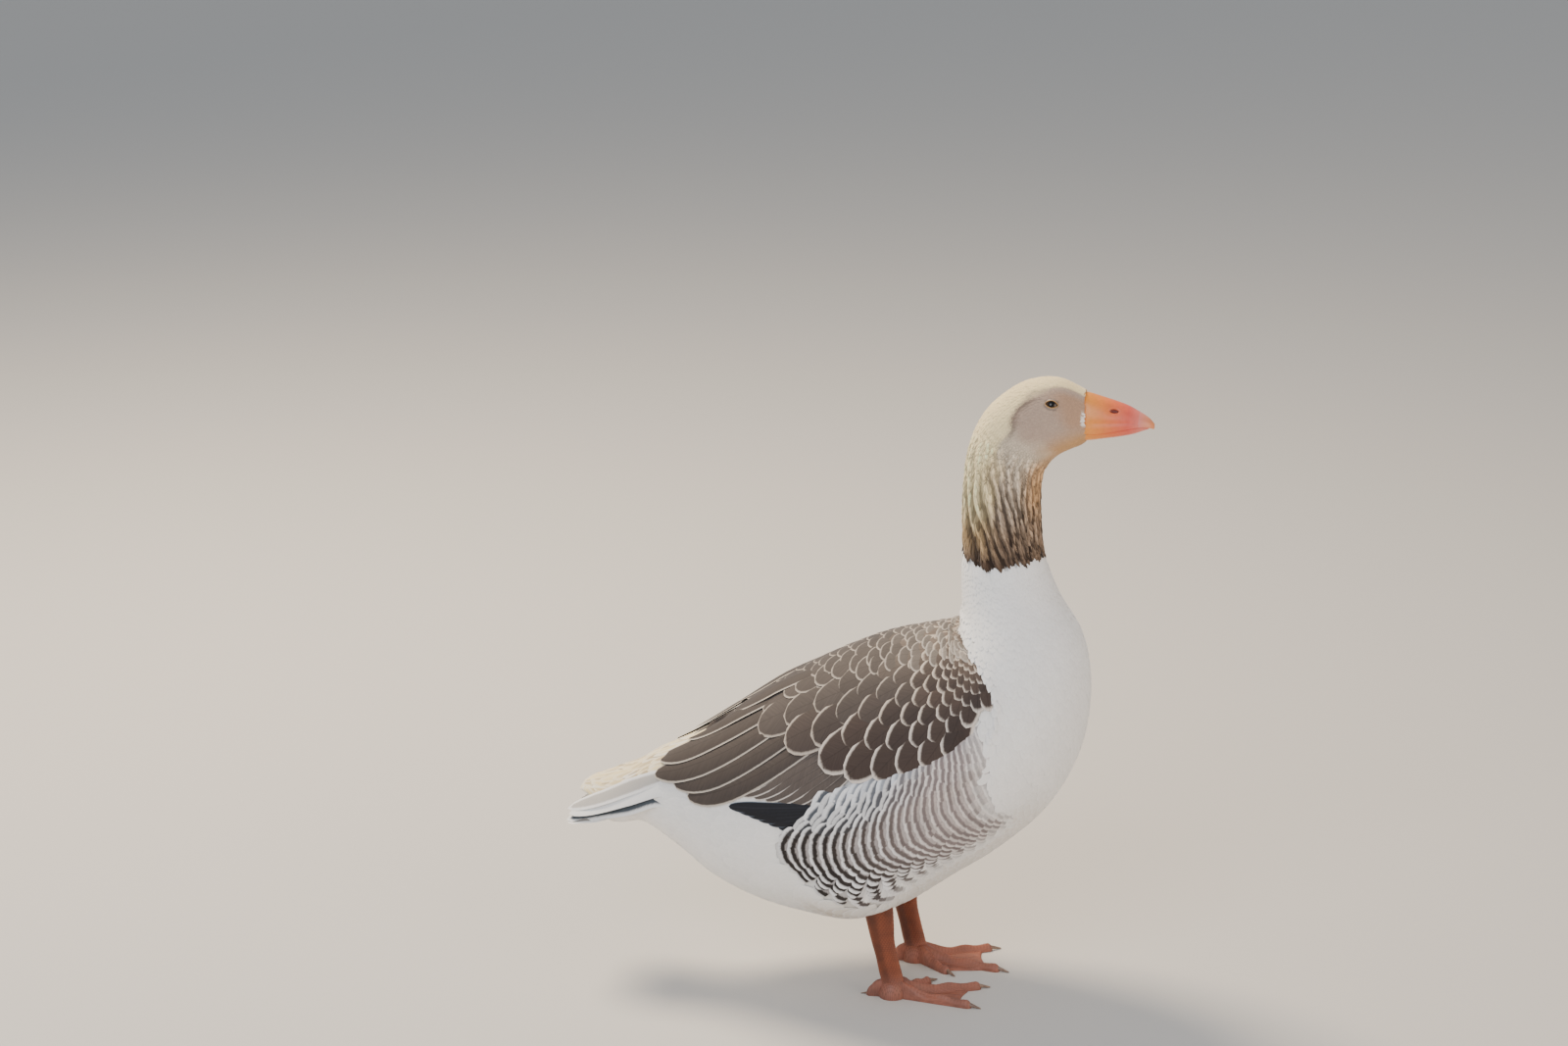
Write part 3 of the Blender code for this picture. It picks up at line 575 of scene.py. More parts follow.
def bodyMarkings(t, a, hold=None):
    # centre and edge colours of the small feathers at these places, blended by ramps along t in millimetres
    # and round in degrees, whose edges wander by wave; hold keeps them all brown (1) or white (0)
    degrees = degreesDown(halfTurn(a))
    wave = np.sin(t * 0.21 + degrees * 0.09) * 0.5 + np.sin(t * 0.083 - degrees * 0.17 + 1.7) * 0.5
    c = colours
    headPart = ramp(t, 672, 712)
    low = ramp(degrees, 118, 158)
    below = degrees + 5 * wave - crownLine(t)
    crownPart = 1 - ramp(below, -6, 6)
    # the throat's tan is partly a painted warm reflection
    face = mixed(c["face"], c["throat"], ramp(degrees, 104, 150) * 0.95)
    face = mixed(face, c["neckTop"], (1 - ramp(t + 5 * wave, 698, 724)) * (1 - 0.75 * low))
    lores = ramp(t, 746, 764) * ramp(degrees, 40, 58) * (1 - ramp(degrees, 100, 130)) * 0.8
    face = mixed(face, c["lores"], lores)
    # a dark line of painted shadow behind the eye, under the crown's edge, and a white crescent at the bill's
    # corner
    brow = 0.6 * np.exp(-((below - 6) / 5) ** 2) * ramp(t, 698, 712) * (1 - ramp(t, 738, 752))
    face = mixed(face, c["brow"], brow)
    crescent = ramp(t - 1.5 * ramp(degrees, 96, 74), 773.2, 775)
    crescent = crescent * ramp(degrees, 70, 77) * (1 - ramp(degrees, 104, 112))
    face = mixed(face, c["billMargin"], crescent)
    # painted light: the crown is a paler cream brightened with painted sunlight, over the face's painted
    # shade
    head = mixed(face, c["crown"], crownPart)
    head = mixed(head, c["sunlitCream"], crownPart * (1 - ramp(t, 700, 740)) * 0.8)
    # the neck: brown at the collar, paler upwards, cream behind at its top, the cream partly painted sunlight
    upwards = ramp(t, 575, 680)
    neck = mixed(mixed(c["collar"], c["neckDark"], ramp(t, 570, 600)), c["neckLight"], ramp(t, 598, 650))
    neck = mixed(neck, c["neckTop"], ramp(t, 640, 690))
    behind = 1 - ramp(degrees + 7 * wave, 54, 96)
    neck = mixed(neck, c["napeTan"], behind * ramp(t, 578, 606))
    neck = mixed(neck, c["sunlitCream"], behind * ramp(t + 6 * wave, 604, 640))
    # the front of the neck takes the throat's tan, with its painted reflection
    neck = mixed(neck, c["throat"], ramp(degrees, 112, 150) * ramp(t, 600, 650) * 0.8)
    # the tufts' edges take the grooves' colour: their own dark bases, deepened with painted shade
    groove = mixed(mixed(c["collarGrooveBaseAndShade"], c["neckGrooveBaseAndShade"], ramp(t, 580, 620)), neck * 0.42, upwards * 0.6)
    groove = mixed(groove, neck * 0.5, behind * upwards * 0.6)
    brown = mixed(neck, head, headPart)
    brownEdge = mixed(groove, head * 0.93, headPart)
    line = neckLine(degrees)
    isBrown = ramp(t + 3 * wave, line - 2, line + 2) if hold is None else np.full(degrees.shape, hold)
    white = c["white"] * (1 + 0.012 * wave[..., None])
    belly = ramp(degrees, 120, 140) * ramp(t, 240, 300) * (1 - ramp(t, 380, 430))
    white = mixed(white, c["beige"], 0.35 * belly)
    # under the leg tops the down is stained
    stained = np.exp(-((t - 232) / 26) ** 2 - ((degrees - 143) / 12) ** 2)
    white = mixed(white, c["hem"], 0.75 * stained)
    # pale brown streaks on the rump and over the tail
    rump = (1 - ramp(degrees, 48, 74)) * (1 - ramp(t, 40, 70))
    streaked = mixed(white, c["rumpStreak"], rump * (0.25 + 0.35 * ramp(wave, -0.2, 0.6)))
    centre = mixed(streaked, brown, isBrown)
    edge = mixed(mixed(white, c["whiteEdge"], 0.6), brownEdge, isBrown)
    return centre.clip(0, 1), edge.clip(0, 1)


# The front edge of the folded wings, where the white feathers end: t, by degrees down from the ridge.
wingFront = {"degrees": (10, 35, 48, 64, 71, 81, 90), "t": (478, 470, 449, 442, 439, 428, 400)}


# The skin: one closed surface under the whole coat, at the given depths below the body's form. It carries
# the coat's colours in shade, brown skin between the folded wings, and bare orange skin at the bill.
skin = {"depthKnots": (-75, 0, 560, 590, 660, 690, 774), "depths": (0.5, 2.0, 2.0, 3.4, 3.0, 1.1, 0.75),
        "rows": 420, "columns": 180, "ends": (1.5, 0.5), "shade": 0.8, "between": hexLinear("#7A7067"),
        "betweenFrom": 200, "betweenDegrees": 62, "bare": hexLinear("#D58A45"), "bareSpan": (768, 771)}
fleshNodes = ("trunk", "neck_lower", "neck_upper", "head", "tail_base", "thigh_left", "thigh_right")


def makeSkin():
    # body form less the coat's depth along its normal, over the grid of t by angle, a pole at each end
    t = np.linspace(tailEnd + skin["ends"][0], billBase - skin["ends"][1], skin["rows"])[:, None]
    a = np.linspace(-math.pi, math.pi, skin["columns"], endpoint=False)[None, :]
    t, a = np.broadcast_arrays(t, a)
    place, out, _ = onBody(t, a)
    depth = np.interp(t, skin["depthKnots"], skin["depths"])
    piece = closedTube("skin", place - out * depth[..., None], False, plumages["coatHead"],
                       fleshNodes)
    tAll = np.concatenate([t.ravel(), [t[0, 0], t[-1, 0]]])
    aAll = np.concatenate([a.ravel(), [0, 0]])
    bare = ramp(tAll, *skin["bareSpan"])
    degrees = degreesDown(aAll)
    between = ramp(np.interp(degrees, wingFront["degrees"], wingFront["t"]) - tAll, -4, 0)
    between = between * (tAll > skin["betweenFrom"]) * (degrees < skin["betweenDegrees"])
    for name, colour in zip(("centre", "fringe"), bodyMarkings(tAll, aAll)):
        colour = mixed(colour * skin["shade"], skin["between"], between)
        addColours(piece, name, mixed(colour, skin["bare"], bare))
    # the plumage material takes the skin for the middle of one great feather
    addVectors(piece, "vane", np.stack([0 * tAll, 0 * tAll + 0.5, 0 * tAll], -1))
    addVectors(piece, "reach", np.stack([aAll * 60, tAll, 0 * tAll + 3], -1))
    addBakeMap(piece, skinMap(tAll, aAll))
    print("skin:", len(tAll), "points")


makeSkin()

# The wings' places on the body: t, and degrees down from the ridge of the back.
wing = {
    "lower": np.array((
        (13, 66), (21, 75), (34, 73), (46, 71.5), (54, 80), (61, 88), (78, 87), (92, 82), (104, 75),
        (125, 73.5), (145, 77), (165, 80), (191, 84), (232, 81), (282, 82), (330, 84), (361, 79), (376, 75),
        (398, 75.5), (424, 80), (437, 71), (447, 49)), float),
    "upper": np.array((
        (13, 60), (16, 42), (22, 19), (66, 19), (86, 12.5), (144, 10), (192, 10), (340, 10), (392, 13),
        (420, 23), (438, 36), (447, 46)), float),
    "lappedUpper": np.array((
        (13, 60), (21, 26), (34, -6), (50, -18), (66, -19), (86, -12.5), (144, -10), (192, -10), (340, -10),
        (385, -6), (415, 14), (438, 35), (447, 46)), float),
    "middleHeight": 7.0, "edgeHeight": 2.5, "rear": 13, "front": 447, "lapDegrees": 10, "lapFrom": 60,
}


def wingHeight(t, a):
    # how high the folded wing stands: edgeHeight at its outline, middleHeight inside, nothing beyond it.
    # u goes from its rear to its front, v from its upper to its lower edge, and the swell is
    # min(u / 0.3, (1 - u) / 0.16)^0.7 * (1 - v^2.6). The left wing laps over the ridge, lapDegrees round.
    left = np.asarray(a) > -math.radians(wing["lapDegrees"]) * (np.asarray(t) > wing["lapFrom"])
    down = np.degrees(np.where(left, a, -np.asarray(a)))
    upper = np.where(left, np.interp(t, *wing["lappedUpper"].T), np.interp(t, *wing["upper"].T))
    lower = np.interp(t, *wing["lower"].T)
    u = np.clip((t - wing["rear"]) / (wing["front"] - wing["rear"]), 0, 1)
    v = np.clip((down - upper) / np.maximum(lower - upper, 1), 0, 1)
    swell = np.clip(np.minimum(u / 0.3, (1 - u) / 0.16), 0, 1) ** 0.7 * (1 - v**2.6)
    within = ramp(lower - down, -5, 2) * ramp(down - upper, -5, 0) * ramp(t, 2, 18) * (1 - ramp(t, 430, 456))
    return (wing["edgeHeight"] + (wing["middleHeight"] - wing["edgeHeight"]) * swell) * within


def insideWing(t, a, margin):
    # true where the place lies under a folded wing, margin degrees inside its outline
    down = degreesDown(a)
    lower, upper = np.interp(t, *wing["lower"].T), np.interp(t, *wing["upper"].T)
    return (t > wing["rear"] + margin) & (t < wing["front"] - 7 - margin) & (down < lower - margin) & (
        (down > upper + margin) | (t > wing["lapFrom"]))


# The barred flank's rows follow curves round the body: t of its rear edge, by degrees from the back.
flank = {"rear": np.array(((78, 200), (86, 191), (91, 171), (97, 162), (103, 160), (111, 166), (118, 183),
                           (125, 209), (131, 237), (136, 262), (142, 290)), float),
         "front": 392, "bottom": 140, "top": 84, "ride": 3.4, "rideDegrees": 86, "rideFlat": 5,
         "rideFade": 6.0}


def flankShare(t, a):
    # 0 on the rearmost bar, 1 at the front of the flank
    degrees = degreesDown(a)
    rear = np.interp(degrees, *flank["rear"].T)
    return (t - rear) / (flank["front"] - rear)


def insideFlank(t, a, margin):
    # true where the barred feathers lie, margin degrees inside their top and bottom
    degrees, share = degreesDown(a), flankShare(t, a)
    return ((share > 0.01) & (share < 1) & (degrees > flank["top"] + margin)
            & (degrees < flank["bottom"] - margin))


def flankHeight(t, a):
    # the flank's feathers ride up over the wing's lower edge: ride * exp(-(degrees beyond the flat / fade)^2)
    beyond = np.maximum(np.abs(degreesDown(a) - flank["rideDegrees"]) - flank["rideFlat"], 0)
    return (flank["ride"] * np.exp(-(beyond / flank["rideFade"]) ** 2)
            * ramp(t, 148, 174) * (1 - ramp(t, 365, 405)))


def onRump(t, a):
    # true where the long feathers of the rump and tail are
    return degreesDown(a) < np.interp(t, (-40, 0, 30, 80, 90), (86, 74, 60, 46, 0))


def vary(count, amount):
    # random factors within this amount of 1
    return 1 + around(amount, count)


def bodyFeathers(rootT, rootA, length, width, turn, depth, relief, **more):
    # the arrays that makeVanes reads, for small feathers lying back along the body
    side = np.where(rootA >= 0, 1.0, -1.0)
    count = len(rootT)
    length, width = length * vary(count, 0.12), width * vary(count, 0.12)
    tipT, tipA = towards(rootT, rootA, turn, length, side)
    centre, fringe = bodyMarkings(rootT, rootA, more.pop("hold", None))
    tone = vary(count, more.pop("tone", 0.02))[:, None]
    made = {"rootT": rootT, "rootA": rootA, "tipT": tipT, "tipA": tipA, "side": side,
            "halfWidth": width / 2, "lift": -depth,
            "rise": depth * 0.9 + around(0.12, count) * relief, "arch": 0.35 * relief,
            "tilt": around(0.3, count) * relief, "thick": 0.35 * relief,
            "seed": random.random(count), "centre": (centre * tone).clip(0, 1),
            "fringe": (fringe * tone).clip(0, 1)}
    made.update(more)
    return made


def chosen(keep, *arrays):
    # the kept entries of each array
    return [array[keep] for array in arrays]


# Neck: pointed tufts on ridges winding from the nape down to the breast; the dark grooves are partly painted
# shade.
neckCoat = {"start": 564, "end": 694, "columns": 66, "step": 4.3, "length": 15.5, "width": 4.6, "ridges": 27,
            "wind": 52.0, "depth": 2.8, "turn": 17, "raggedHem": (0.5, 4)}


def neckRidge(t, a):
    # 1 on a ridge's crest, 0 in a groove: (1/2 + 1/2 cos(ridges * lie + wander))^0.75, where lie is the angle
    # from the back less wind * (1 - share) * sin^1.3, so that the ridges wind round going down
    n = neckCoat
    share = np.clip((t - n["start"]) / (n["end"] - n["start"]), 0, 1)
    turned = np.abs(halfTurn(a))
    lie = turned - np.radians(n["wind"]) * (1 - share) * np.sin(turned) ** 1.3
    wander = 1.1 * np.sin(t / 15.0 + 5.0 * lie) + 0.9 * np.sin(t / 8.5 - 9.0 * lie + 2.0)
    return (0.5 + 0.5 * np.cos(n["ridges"] * lie + wander)) ** 0.75


def neckHeight(t, a):
    # the grooves sink by depth, less towards the head and at the throat
    return (-neckCoat["depth"] * (1 - neckRidge(t, a)) * ramp(t, 700, 650)
            * (0.35 + 0.65 * ramp(np.abs(a), 3.1, 2.5)))


# Head: the shortest feathers, finest on the face.
headCoat = {"start": 660, "end": 779, "columns": 90, "knots": (660, 700, 740, 776),
            "steps": (3.6, 2.2, 1.75, 1.4), "depths": (1.7, 0.95, 0.8, 0.45), "eye": (750, 68.5),
            "eyeReach": (9.3, 5.7), "crownLift": 0.9, "eyeForward": 2.3, "otherSide": 9, "faceFrom": 75,
            "length": 3.3, "width": 1.75}


def headHeight(t, a):
    # the crown's feathers stand a little over the face's, by crownLift, with an uneven edge
    degrees = degreesDown(halfTurn(a))
    below = degrees + 3 * np.sin(t * 0.4) + 2 * np.sin(t * 0.93 + 1) - crownLine(t)
    crown = (1 - ramp(below, -3, 3)) * ramp(t, 690, 712) * (1 - ramp(t, 742, 764))
    return neckHeight(t, a) + headCoat["crownLift"] * crown


def makeHeadCoat():
    # tufts in columns round the head, with none inside an ellipse round each eye
    h = headCoat
    t, a, spacing = columnRoots(h["start"], h["end"], h["columns"],
                                lambda t: np.interp(t, h["knots"], h["steps"]), 0.28)
    place, _, _ = onBody(t, a)
    eyes, _, _ = onBody(np.array([h["eye"][0]] * 2), np.radians([h["eye"][1], -h["eye"][1]]))
    off = np.minimum(*[np.hypot((place[:, 0] - x - h["eyeForward"]) / h["eyeReach"][0],
                                (place[:, 2] - z) / h["eyeReach"][1])
                       + (np.sign(place[:, 1]) != np.sign(y)) * h["otherSide"] for x, y, z in eyes])
    t, a, spacing = chosen(off > 1, t, a, spacing)
    degrees = degreesDown(a)
    turn = np.radians(np.interp(t, (690, 720, 760), (4, 16, 6)) * np.sin(np.radians(degrees)))
    depth = np.interp(t, h["knots"], h["depths"])
    # the crown and nape are looser than the face
    loose = (1 - ramp(degrees, 30, 75)) * (1 - ramp(t, 745, 770))
    nape = (1 - ramp(degrees, 40, 90)) * (1 - ramp(t, 694, 722))
    relief = 0.35 + 0.55 * loose + 0.6 * (1 - ramp(t, 664, 700))
    length = h["length"] * np.interp(t, h["knots"], h["steps"]) * (1 + 0.35 * loose)
    width = (h["width"] + 0.3 * ramp(t, 700, 664)) * spacing
    made = bodyFeathers(t, a, length, width, turn, depth, relief, tone=0.045, fringeWidth=0.8,
                        field=headHeight, levelRoot=1.0, levelTip=1.0)
    # they thin out to nothing at the bill
    thin = ramp(t, 782, 770)
    made["lift"] = -depth * thin - 0.05
    made["rise"] = depth * 0.95 * thin + random.uniform(-0.1, 0.16, len(t)) * (0.5 + loose + 2.2 * nape)
    for name, part in (("crown", degrees < h["faceFrom"]), ("face", degrees >= h["faceFrom"])):
        feathers = {key: held[part] if np.ndim(held) else held for key, held in made.items()}
        makeVanes(f"coat_{name}", "tuft", feathers, plumages["coatHead"], ("head",),
                  (660, 782))


makeHeadCoat()


def makeNeckCoat():
    # pointed tufts that follow the winding ridges, darkened with painted shade the deeper they lie, and
    # shorter at the hem
    n = neckCoat
    t, a, _ = columnRoots(n["start"], n["end"], n["columns"], lambda t: n["step"] + 0 * t, 0.4)
    t, a = chosen(t > neckLine(degreesDown(a)) + random.uniform(*n["raggedHem"], len(t)), t, a)
    count = len(t)
    hem = ramp(t - neckLine(degreesDown(a)), 3, 24)
    share = (t - n["start"]) / (n["end"] - n["start"])
    fade = ramp(t, 694, 640)
    turn = np.radians(n["turn"]) * np.sin(np.abs(a)) ** 1.3 + around(0.07, count)
    crest = neckRidge(t - 5, a + np.sign(a) * 0.04)
    length = n["length"] * (0.55 + 0.45 * fade) * (0.5 + 0.5 * hem) * vary(count, 0.15)
    made = bodyFeathers(t, a, length, n["width"] * vary(count, 0.2), turn, 2.9, 1.0, tone=0.13,
                        fringeWidth=1.2, hold=1.0)
    # painted shade and highlight: tufts in the grooves are mixed towards their dark fringe, and those on the
    # crests are made paler
    dark = (1 - crest) ** 0.8 * (0.35 + 0.65 * fade)
    made["centre"] = mixed(made["centre"] * (1 + 0.3 * crest[:, None] * ramp(share, 0.05, 0.35)[:, None]),
                           made["fringe"] * 0.75, dark).clip(0, 1)
    made["fringe"] = mixed(made["fringe"], made["centre"], 0.25 + 0.35 * crest).clip(0, 1)
    made.update({"lift": -1.2, "rise": 1.2 + random.uniform(-0.25, 0.35, count), "arch": 0.4 + 0.35 * fade,
                 "thick": 0.5, "curl": 0.35 * fade * hem - 0.2 * (1 - hem), "field": neckHeight,
                 "levelRoot": 1.0, "levelTip": 1.0})
    makeVanes("coat_neck", "spear", made, plumages["coatNeck"], ("neck_upper",), (555, 700))


makeNeckCoat()

# White body coat: small on the neck, larger on the breast and belly. Satin smooth, so its vanes lie flush.
bodyCoat = {"columns": 74, "knots": (-75, 0, 100, 300, 420, 480, 540, 582),
            "steps": (8.5, 9.0, 9.5, 9.0, 8.0, 6.6, 5.0, 4.2), "depth": 1.5, "neckDepth": 1.9,
            "rearDepth": 1.0, "length": 3.0, "width": 1.85, "ride": 2.9, "rideFade": 11.0, "rideFlat": 40,
            "breastFrom": 300}


def breastHeight(t, a):
    # the white feathers ride up over the front edge of the wing: ride * exp(-(distance / fade)^2)
    degrees = degreesDown(a)
    ahead = t - np.interp(degrees, wingFront["degrees"], wingFront["t"])
    behind = np.interp(degrees, (45, 60), (bodyCoat["rideFlat"], bodyCoat["rideFade"]))
    ahead = ahead / np.where(ahead > 0, bodyCoat["rideFade"], behind)
    return bodyCoat["ride"] * np.exp(-ahead**2) * ramp(degrees, -12, 14) * (1 - ramp(degrees, 84, 95))


def makeBodyCoat(roots, name, nodes, keep, tRange):
    # smooth feathers in columns round the body, each three steps long
    b = bodyCoat
    t, a, spacing = chosen(keep, *roots)
    turn = np.radians(np.interp(t, (100, 300, 450, 560), (4, 12, 10, 2)) * np.sin(np.abs(a)))
    depth = np.interp(t, (-60, 0, 540, 580), (b["rearDepth"], b["depth"], b["depth"], b["neckDepth"]))
    made = bodyFeathers(t, a, b["length"] * np.interp(t, b["knots"], b["steps"]), b["width"] * spacing,
                        turn, depth, 0.42, fringeWidth=2.0, hold=0.0)
    made["field"] = breastHeight
    makeVanes(name, "contour", made, plumages["coatWhite"], nodes, tRange)


bodyRoots = columnRoots(-66, 586, bodyCoat["columns"],
                        lambda t: np.interp(t, bodyCoat["knots"], bodyCoat["steps"]), 0.24)
rootT, rootA = bodyRoots[:2]
degrees = degreesDown(rootA)
white = (rootT < neckLine(degrees) + 1.5) & ~insideWing(rootT, rootA, 5) & ~insideFlank(rootT, rootA, 3)
frontLine = np.interp(degrees, wingFront["degrees"], wingFront["t"])
white &= ~onRump(rootT, rootA) & ((rootT > frontLine - 3) | (rootT < 400) | (degrees > 62))
onBreast = rootT > bodyCoat["breastFrom"]
makeBodyCoat(bodyRoots, "coat_belly", ("trunk", "tail_base", "thigh_left", "thigh_right"), white & ~onBreast,
             (-75, 305))
makeBodyCoat(bodyRoots, "coat_breast", ("trunk", "neck_lower"), white & onBreast, (295, 590))

# Rump: long narrow coverts, cream white with pale brown streaks, that end over the tail; their cream is
# partly painted sunlight.
rump = {"rows": (236, 220, 204, 188, 172, 156, 140, 125, 110, 95, 80, 64, 48, 32, 17, 3, -10, -22, -33),
        "spacing": 8.5, "length": 44.0, "width": 12.5, "brown": hexLinear("#4B433D"), "streaked": 0.45,
        "plain": 0.1}


def makeRumpCoat():
    # rows across the back, each feather's root at a random place near row and degrees, its tip length behind
    r = rump
    ts, angles = [], []
    for k, row in enumerate(r["rows"]):
        _, _, scale = onBody(np.array([row], float), np.array([0.4]))
        reach = np.interp(row, (-40, 0, 30, 80, 110), (88, 76, 64, 40, 14))
        step = np.degrees(r["spacing"] / scale[0, 1])
        degrees = np.arange(-reach + step * 0.5 * (k % 2), reach, step)
        ts.append(row + around(3, len(degrees)))
        angles.append(np.radians(degrees + around(0.2, len(degrees)) * step))
    t, a = np.concatenate(ts), np.concatenate(angles)
    count, side = len(t), np.where(a >= 0, 1.0, -1.0)
    tipT = np.maximum(t - r["length"] * vary(count, 0.12), tailEnd + 1.5)
    tipA = a * np.interp(t, (-40, 60), (0.9, 1.05))
    streak = np.where(random.random(count) < r["streaked"], random.uniform(0.35, 0.9, count), r["plain"])
    brown = ramp(tipT, 34, 44)
    made = {"rootT": t, "rootA": a, "tipT": tipT, "tipA": tipA, "side": side,
            "halfWidth": r["width"] / 2 * vary(count, 0.2), "lift": -1.4,
            "rise": 1.9 + random.uniform(-0.2, 0.3, count), "arch": 0.5, "thick": 0.35,
            "tilt": around(0.4, count), "seed": random.random(count),
            "centre": mixed(mixed(colours["sunlitCream"], colours["rumpStreak"] * 0.8, streak), r["brown"],
                            brown).clip(0, 1),
            "fringe": mixed(mixed(colours["white"], colours["sunlitCream"], random.uniform(0.2, 0.9, count)),
                            r["brown"] * 1.4, brown), "fringeWidth": 3.4}
    makeVanes("coat_rump", "contour", made, plumages["coatWhite"], ("tail_base", "trunk"),
              (-76, 240))


makeRumpCoat()

# Barred flanks: regular rows, each feather dark before a white tip, so that the tips join into bars.
flankCoat = {"rearStep": 10.5, "frontStep": 7.5, "stepSpan": 175, "across": 4.4, "first": 79, "length": 29.0,
             "width": 17.0, "rear": 3.9, "front": 2.4, "slope": 0.45, "turns": (-0.8, 0.85)}
flankColours = {key: hexLinear(value) for key, value in {
    "tip": "#DEDDDC", "tipFront": "#D2C9C3", "bar": "#2A2421", "barMiddle": "#524945", "barFront": "#7F7472",
    # top and the top bar colour are tinted a cool blue-grey: painted shade under the wing's edge
    "base": "#A09A98", "baseFront": "#B3A8A3", "top": "#DADDE2", "barTopShade": "#5C636B"}.items()}


def makeFlankCoat():
    # row by row from the rear, tips at t = rear + (front - rear) * share and spaced evenly round, each
    # feather turned to stand square on its row, and its root found back along it
    f, c = flankCoat, flankColours
    for name, side in sides:
        ts, angles, turns = [], [], []
        share, k = 0.0, 0
        while share < 1.02:
            degrees = np.arange(f["first"] + (k % 2) * f["across"] / 2, flank["bottom"] + 4, f["across"])
            degrees = degrees + around(0.4, len(degrees))
            rear = np.interp(degrees, *flank["rear"].T)
            t = rear + (flank["front"] - rear) * share
            ts.append(t + around(0.8, len(t)))
            angles.append(degrees)
            turns.append(np.arctan(np.gradient(t, degrees) * f["slope"]))
            step = f["rearStep"] + (f["frontStep"] - f["rearStep"]) * share
            share, k = share + step / (flank["front"] - f["stepSpan"]), k + 1
        tipT, tipDegrees, turn = np.concatenate(ts), np.concatenate(angles), np.concatenate(turns)
        keep = (tipDegrees > np.interp(tipT, *wing["lower"].T) - 5) | (tipT > 395)
        tipT, tipDegrees, turn = chosen(keep, tipT, tipDegrees, np.clip(turn, *f["turns"]))
        count = len(tipT)
        place = flankShare(tipT, np.radians(tipDegrees))
        length = f["length"] * (1 - 0.25 * place) * vary(count, 0.06)
        tipA = side * np.radians(tipDegrees)
        _, _, scale = onBody(tipT, tipA)
        rootT = tipT + length * np.cos(turn) / scale[:, 0]
        rootA = tipA - side * length * np.sin(turn) / scale[:, 1]
        patch = around(0.03, count)
        front, low = ramp(place + patch, 0.3, 0.72), ramp(tipDegrees, 122, 142)
        pale = np.maximum(front, low * 0.6)
        # the top row is nearly white behind, and the front and lowest rows fade into the white coat
        # painted shade: the top row's white is tinted cool under the wing's edge
        top = 0.8 * (1 - ramp(tipDegrees + 20 * patch, 79.5, 82)) * ramp(tipT, 200, 225)
        top = top * (1 - ramp(tipT, 285, 330))
        upper = (1 - ramp(tipDegrees, 82, 98)) * (1 - front)
        white = ramp(place + patch, 0.8, 0.97) * (0.35 + 0.65 * ramp(tipDegrees, 98, 114))
        white = np.maximum(white, ramp(tipDegrees + 20 * patch, 132, 143)) * 0.95
        bar = mixed(mixed(c["bar"], c["barMiddle"], ramp(place, 0.15, 0.5)), c["barFront"], pale)
        bar = mixed(bar, c["top"], top)
        tip = mixed(mixed(c["tip"], c["tipFront"], pale), c["top"], top)
        base = mixed(mixed(c["base"], c["baseFront"], pale), c["top"], top)
        base = mixed(base, colours["white"], ramp(tipDegrees, 122, 134) * 0.8)
        # painted shade: the upper bars turn the cool blue-grey of the shade under the wing
        bar = mixed(bar, c["barTopShade"], upper * 0.6)
        tone = vary(count, 0.14)[:, None]
        bar, tip, base = (mixed(colour * tone, colours["white"], white).clip(0, 1)
                          for colour in (bar, tip, base))
        made = {"rootT": rootT, "rootA": rootA, "tipT": tipT, "tipA": tipA, "side": np.full(count, side),
                "halfWidth": f["width"] / 2 * vary(count, 0.08) * (1 + 0.6 * upper),
                "lift": -2.0 - 0.9 * ramp(place, 0.82, 0.98),
                "rise": 2.0 + around(0.12, count), "arch": 0.3 - 0.2 * upper, "thick": 0.35,
                "tilt": around(0.2, count), "seed": random.random(count), "centre": bar,
                "fringe": tip, "base": base,
                "fringeWidth": mixed(f["rear"], f["front"], place) * (1 + 0.35 * upper) * vary(count, 0.1),
                "field": flankHeight, "levelRoot": 1.0, "levelTip": 1.0}
        makeVanes(f"coat_flank_{name}", "band", made, plumages["coatBarred"],
                  ("trunk", f"thigh_{name}"), (150, 420), acrossBars=True)


makeFlankCoat()

# Folded wings. Coverts and shoulder feathers stand in arcs round the corner between neck and wing, and grow
# as they go outwards; tertials, secondaries and primaries come out from under them.
coverts = {"centre": (506, 20), "degree": 2.1, "first": 52.0, "stepStart": 7.4, "stepGrowth": 0.088,
           "widthStart": 14.5, "widthGrowth": 0.132, "lengthStart": 20.0, "lengthGrowth": 0.25, "lap": 0.64,
           "sweep": (-30, 122), "reach": 520, "grownMost": 260, "firstGrown": 12,
           "tipLine": np.array(((60, -60), (88, -14), (92, 15), (100, 30), (117, 45), (144, 52), (160, 61),
                                (182, 68.5), (218, 77), (244, 82), (294, 84), (330, 86), (361, 81),
                                (400, 83), (440, 84)), float)}
wingColours = {key: hexLinear(value) for key, value in {
    "small": "#6E6055", "smallEdge": "#BFB1A0", "middle": "#4A3D36", "middleEdge": "#CBBDAD",
    "large": "#3B312D", "largeEdge": "#D6CBBF", "shoulder": "#4D4540", "shoulderEdge": "#AFA497",
    "mantle": "#8A8177", "mantleEdge": "#ABA399", "tertial": "#463E39", "tertialEdge": "#C4BAAC",
    "second": "#5A514B", "secondEdge": "#D3CBC1", "black": "#1D1E23", "blackEdge": "#5C6672"}.items()}


